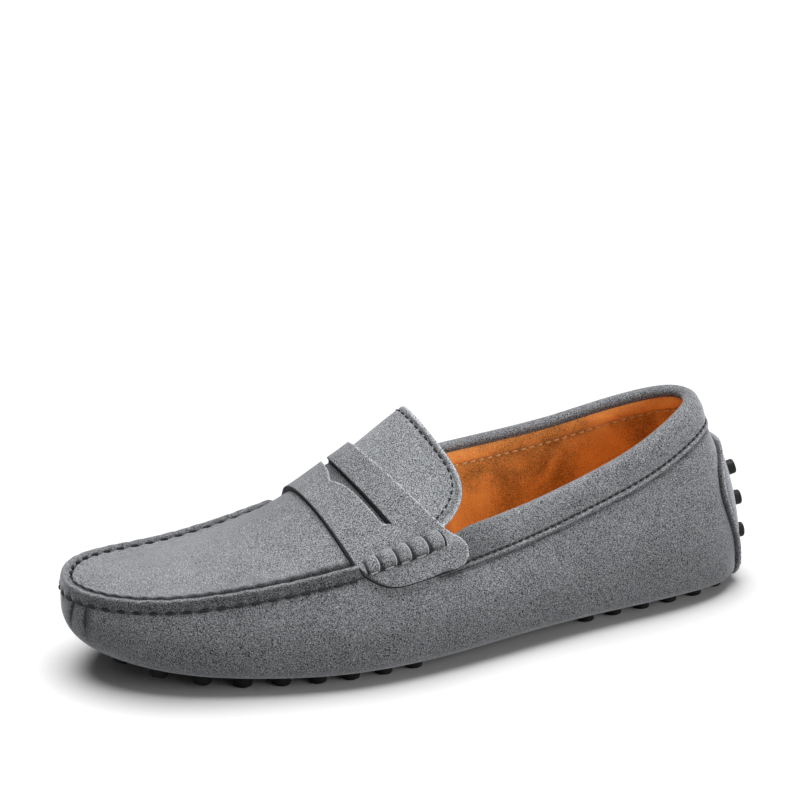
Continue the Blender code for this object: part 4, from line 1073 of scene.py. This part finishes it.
# Heel nubs: six round rubber studs on the patch, two columns of three, pushed through it from behind.
# They are narrower and lower than the nubs underneath, of the same rubber.
BACK_NUB_RADIUS, BACK_NUB_HEIGHT, BACK_NUB_SINK = 3.0, 3.4, 0.3
BACK_NUB_HEIGHTS = np.repeat([18.2, 32.0, 45.0], 2)
BACK_NUB_SIDES = np.tile([6.5, -6.5], 3)
search = np.linspace(0.2, 1.9, 400)
search_z = wall(search[:, None], BACK_NUB_SIDES[None, :])[..., 2]
nub_level = np.array([np.interp(height, z, search) for height, z in zip(BACK_NUB_HEIGHTS, search_z.T)])
nub_spot = wall(nub_level, BACK_NUB_SIDES)
nub_axis = unit(np.cross(wall(nub_level + 0.02, BACK_NUB_SIDES) - nub_spot,
                         wall(nub_level, BACK_NUB_SIDES + 0.5) - nub_spot))
nub_foot = nub_spot + nub_axis * (PATCH_SEAT + PATCH_THICK)
heel_studs = piece("heel_studs", black_rubber, (
    studs(nub_foot, nub_axis, BACK_NUB_RADIUS, BACK_NUB_HEIGHT + SEAT, BACK_NUB_SINK), 0.0))
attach(heel_studs, "root")
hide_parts("heel_nub_1", "heel_nub_2", "heel_nub_3", "heel_nub_4", "heel_nub_5", "heel_nub_6")


# Studio: a plain white floor, a large softbox overhead and a little behind the shoe, a weaker low fill from
# the camera's side and the heel, and the camera where the photograph was taken from.
FLOOR_SIZE = 8.0
FLOOR_WHITE = (0.54, 0.54, 0.54)
KEY_TOWARD, KEY_STRENGTH, KEY_SPREAD = (0.03, 0.14, -1.0), 6.0, 52.0
FILL_TOWARD, FILL_STRENGTH, FILL_SPREAD = (0.6, -0.75, -0.22), 2.15, 50.0
WORLD_WHITE, WORLD_STRENGTH = (1.0, 1.0, 1.0, 1.0), 0.12
EYE = (0.37736, 0.84983, 0.40312)
TURN, TILT, LENS, SENSOR = 156.57, 18.55, 116.46, 36.0
floor_mesh = bpy.data.meshes.new("floor")
edge = FLOOR_SIZE / 2
corners = [(-edge, -edge, 0), (edge, -edge, 0), (edge, edge, 0), (-edge, edge, 0)]
floor_mesh.from_pydata(corners, [], [(0, 1, 2, 3)])
floor_paper, start = blank("floor_paper")
paper_tooth = noise(start, 400.0, 2.0)
surface(start, FLOOR_WHITE, 0.99 + 0.02 * paper_tooth, {"Roughness": 0.9, "Specular IOR Level": 0.1})
floor_mesh.materials.append(floor_paper)
floor = bpy.data.objects.new("floor", floor_mesh)
bpy.context.collection.objects.link(floor)


def lamp(name, toward, strength, spread):
    """A far light that shines along a direction, as soft as a box that spans the spread in degrees."""
    light = bpy.data.lights.new(name, "SUN")
    light.energy, light.angle = strength, np.radians(spread)
    made = bpy.data.objects.new(name, light)
    made.rotation_euler = Vector(toward).to_track_quat("-Z", "Y").to_euler()
    bpy.context.collection.objects.link(made)


lamp("key", KEY_TOWARD, KEY_STRENGTH, KEY_SPREAD)
lamp("fill", FILL_TOWARD, FILL_STRENGTH, FILL_SPREAD)
world = bpy.data.worlds.new("studio")
world.use_nodes = True
world.node_tree.nodes["Background"].inputs["Color"].default_value = WORLD_WHITE
world.node_tree.nodes["Background"].inputs["Strength"].default_value = WORLD_STRENGTH
bpy.context.scene.world = world
bpy.context.scene.view_settings.view_transform = "Standard"
lens = bpy.data.cameras.new("camera")
lens.lens, lens.sensor_width = LENS, SENSOR
camera = bpy.data.objects.new("camera", lens)
camera.location = EYE
camera.rotation_euler = (np.radians(90 - TILT), 0.0, np.radians(TURN))
bpy.context.collection.objects.link(camera)
bpy.context.scene.camera = camera
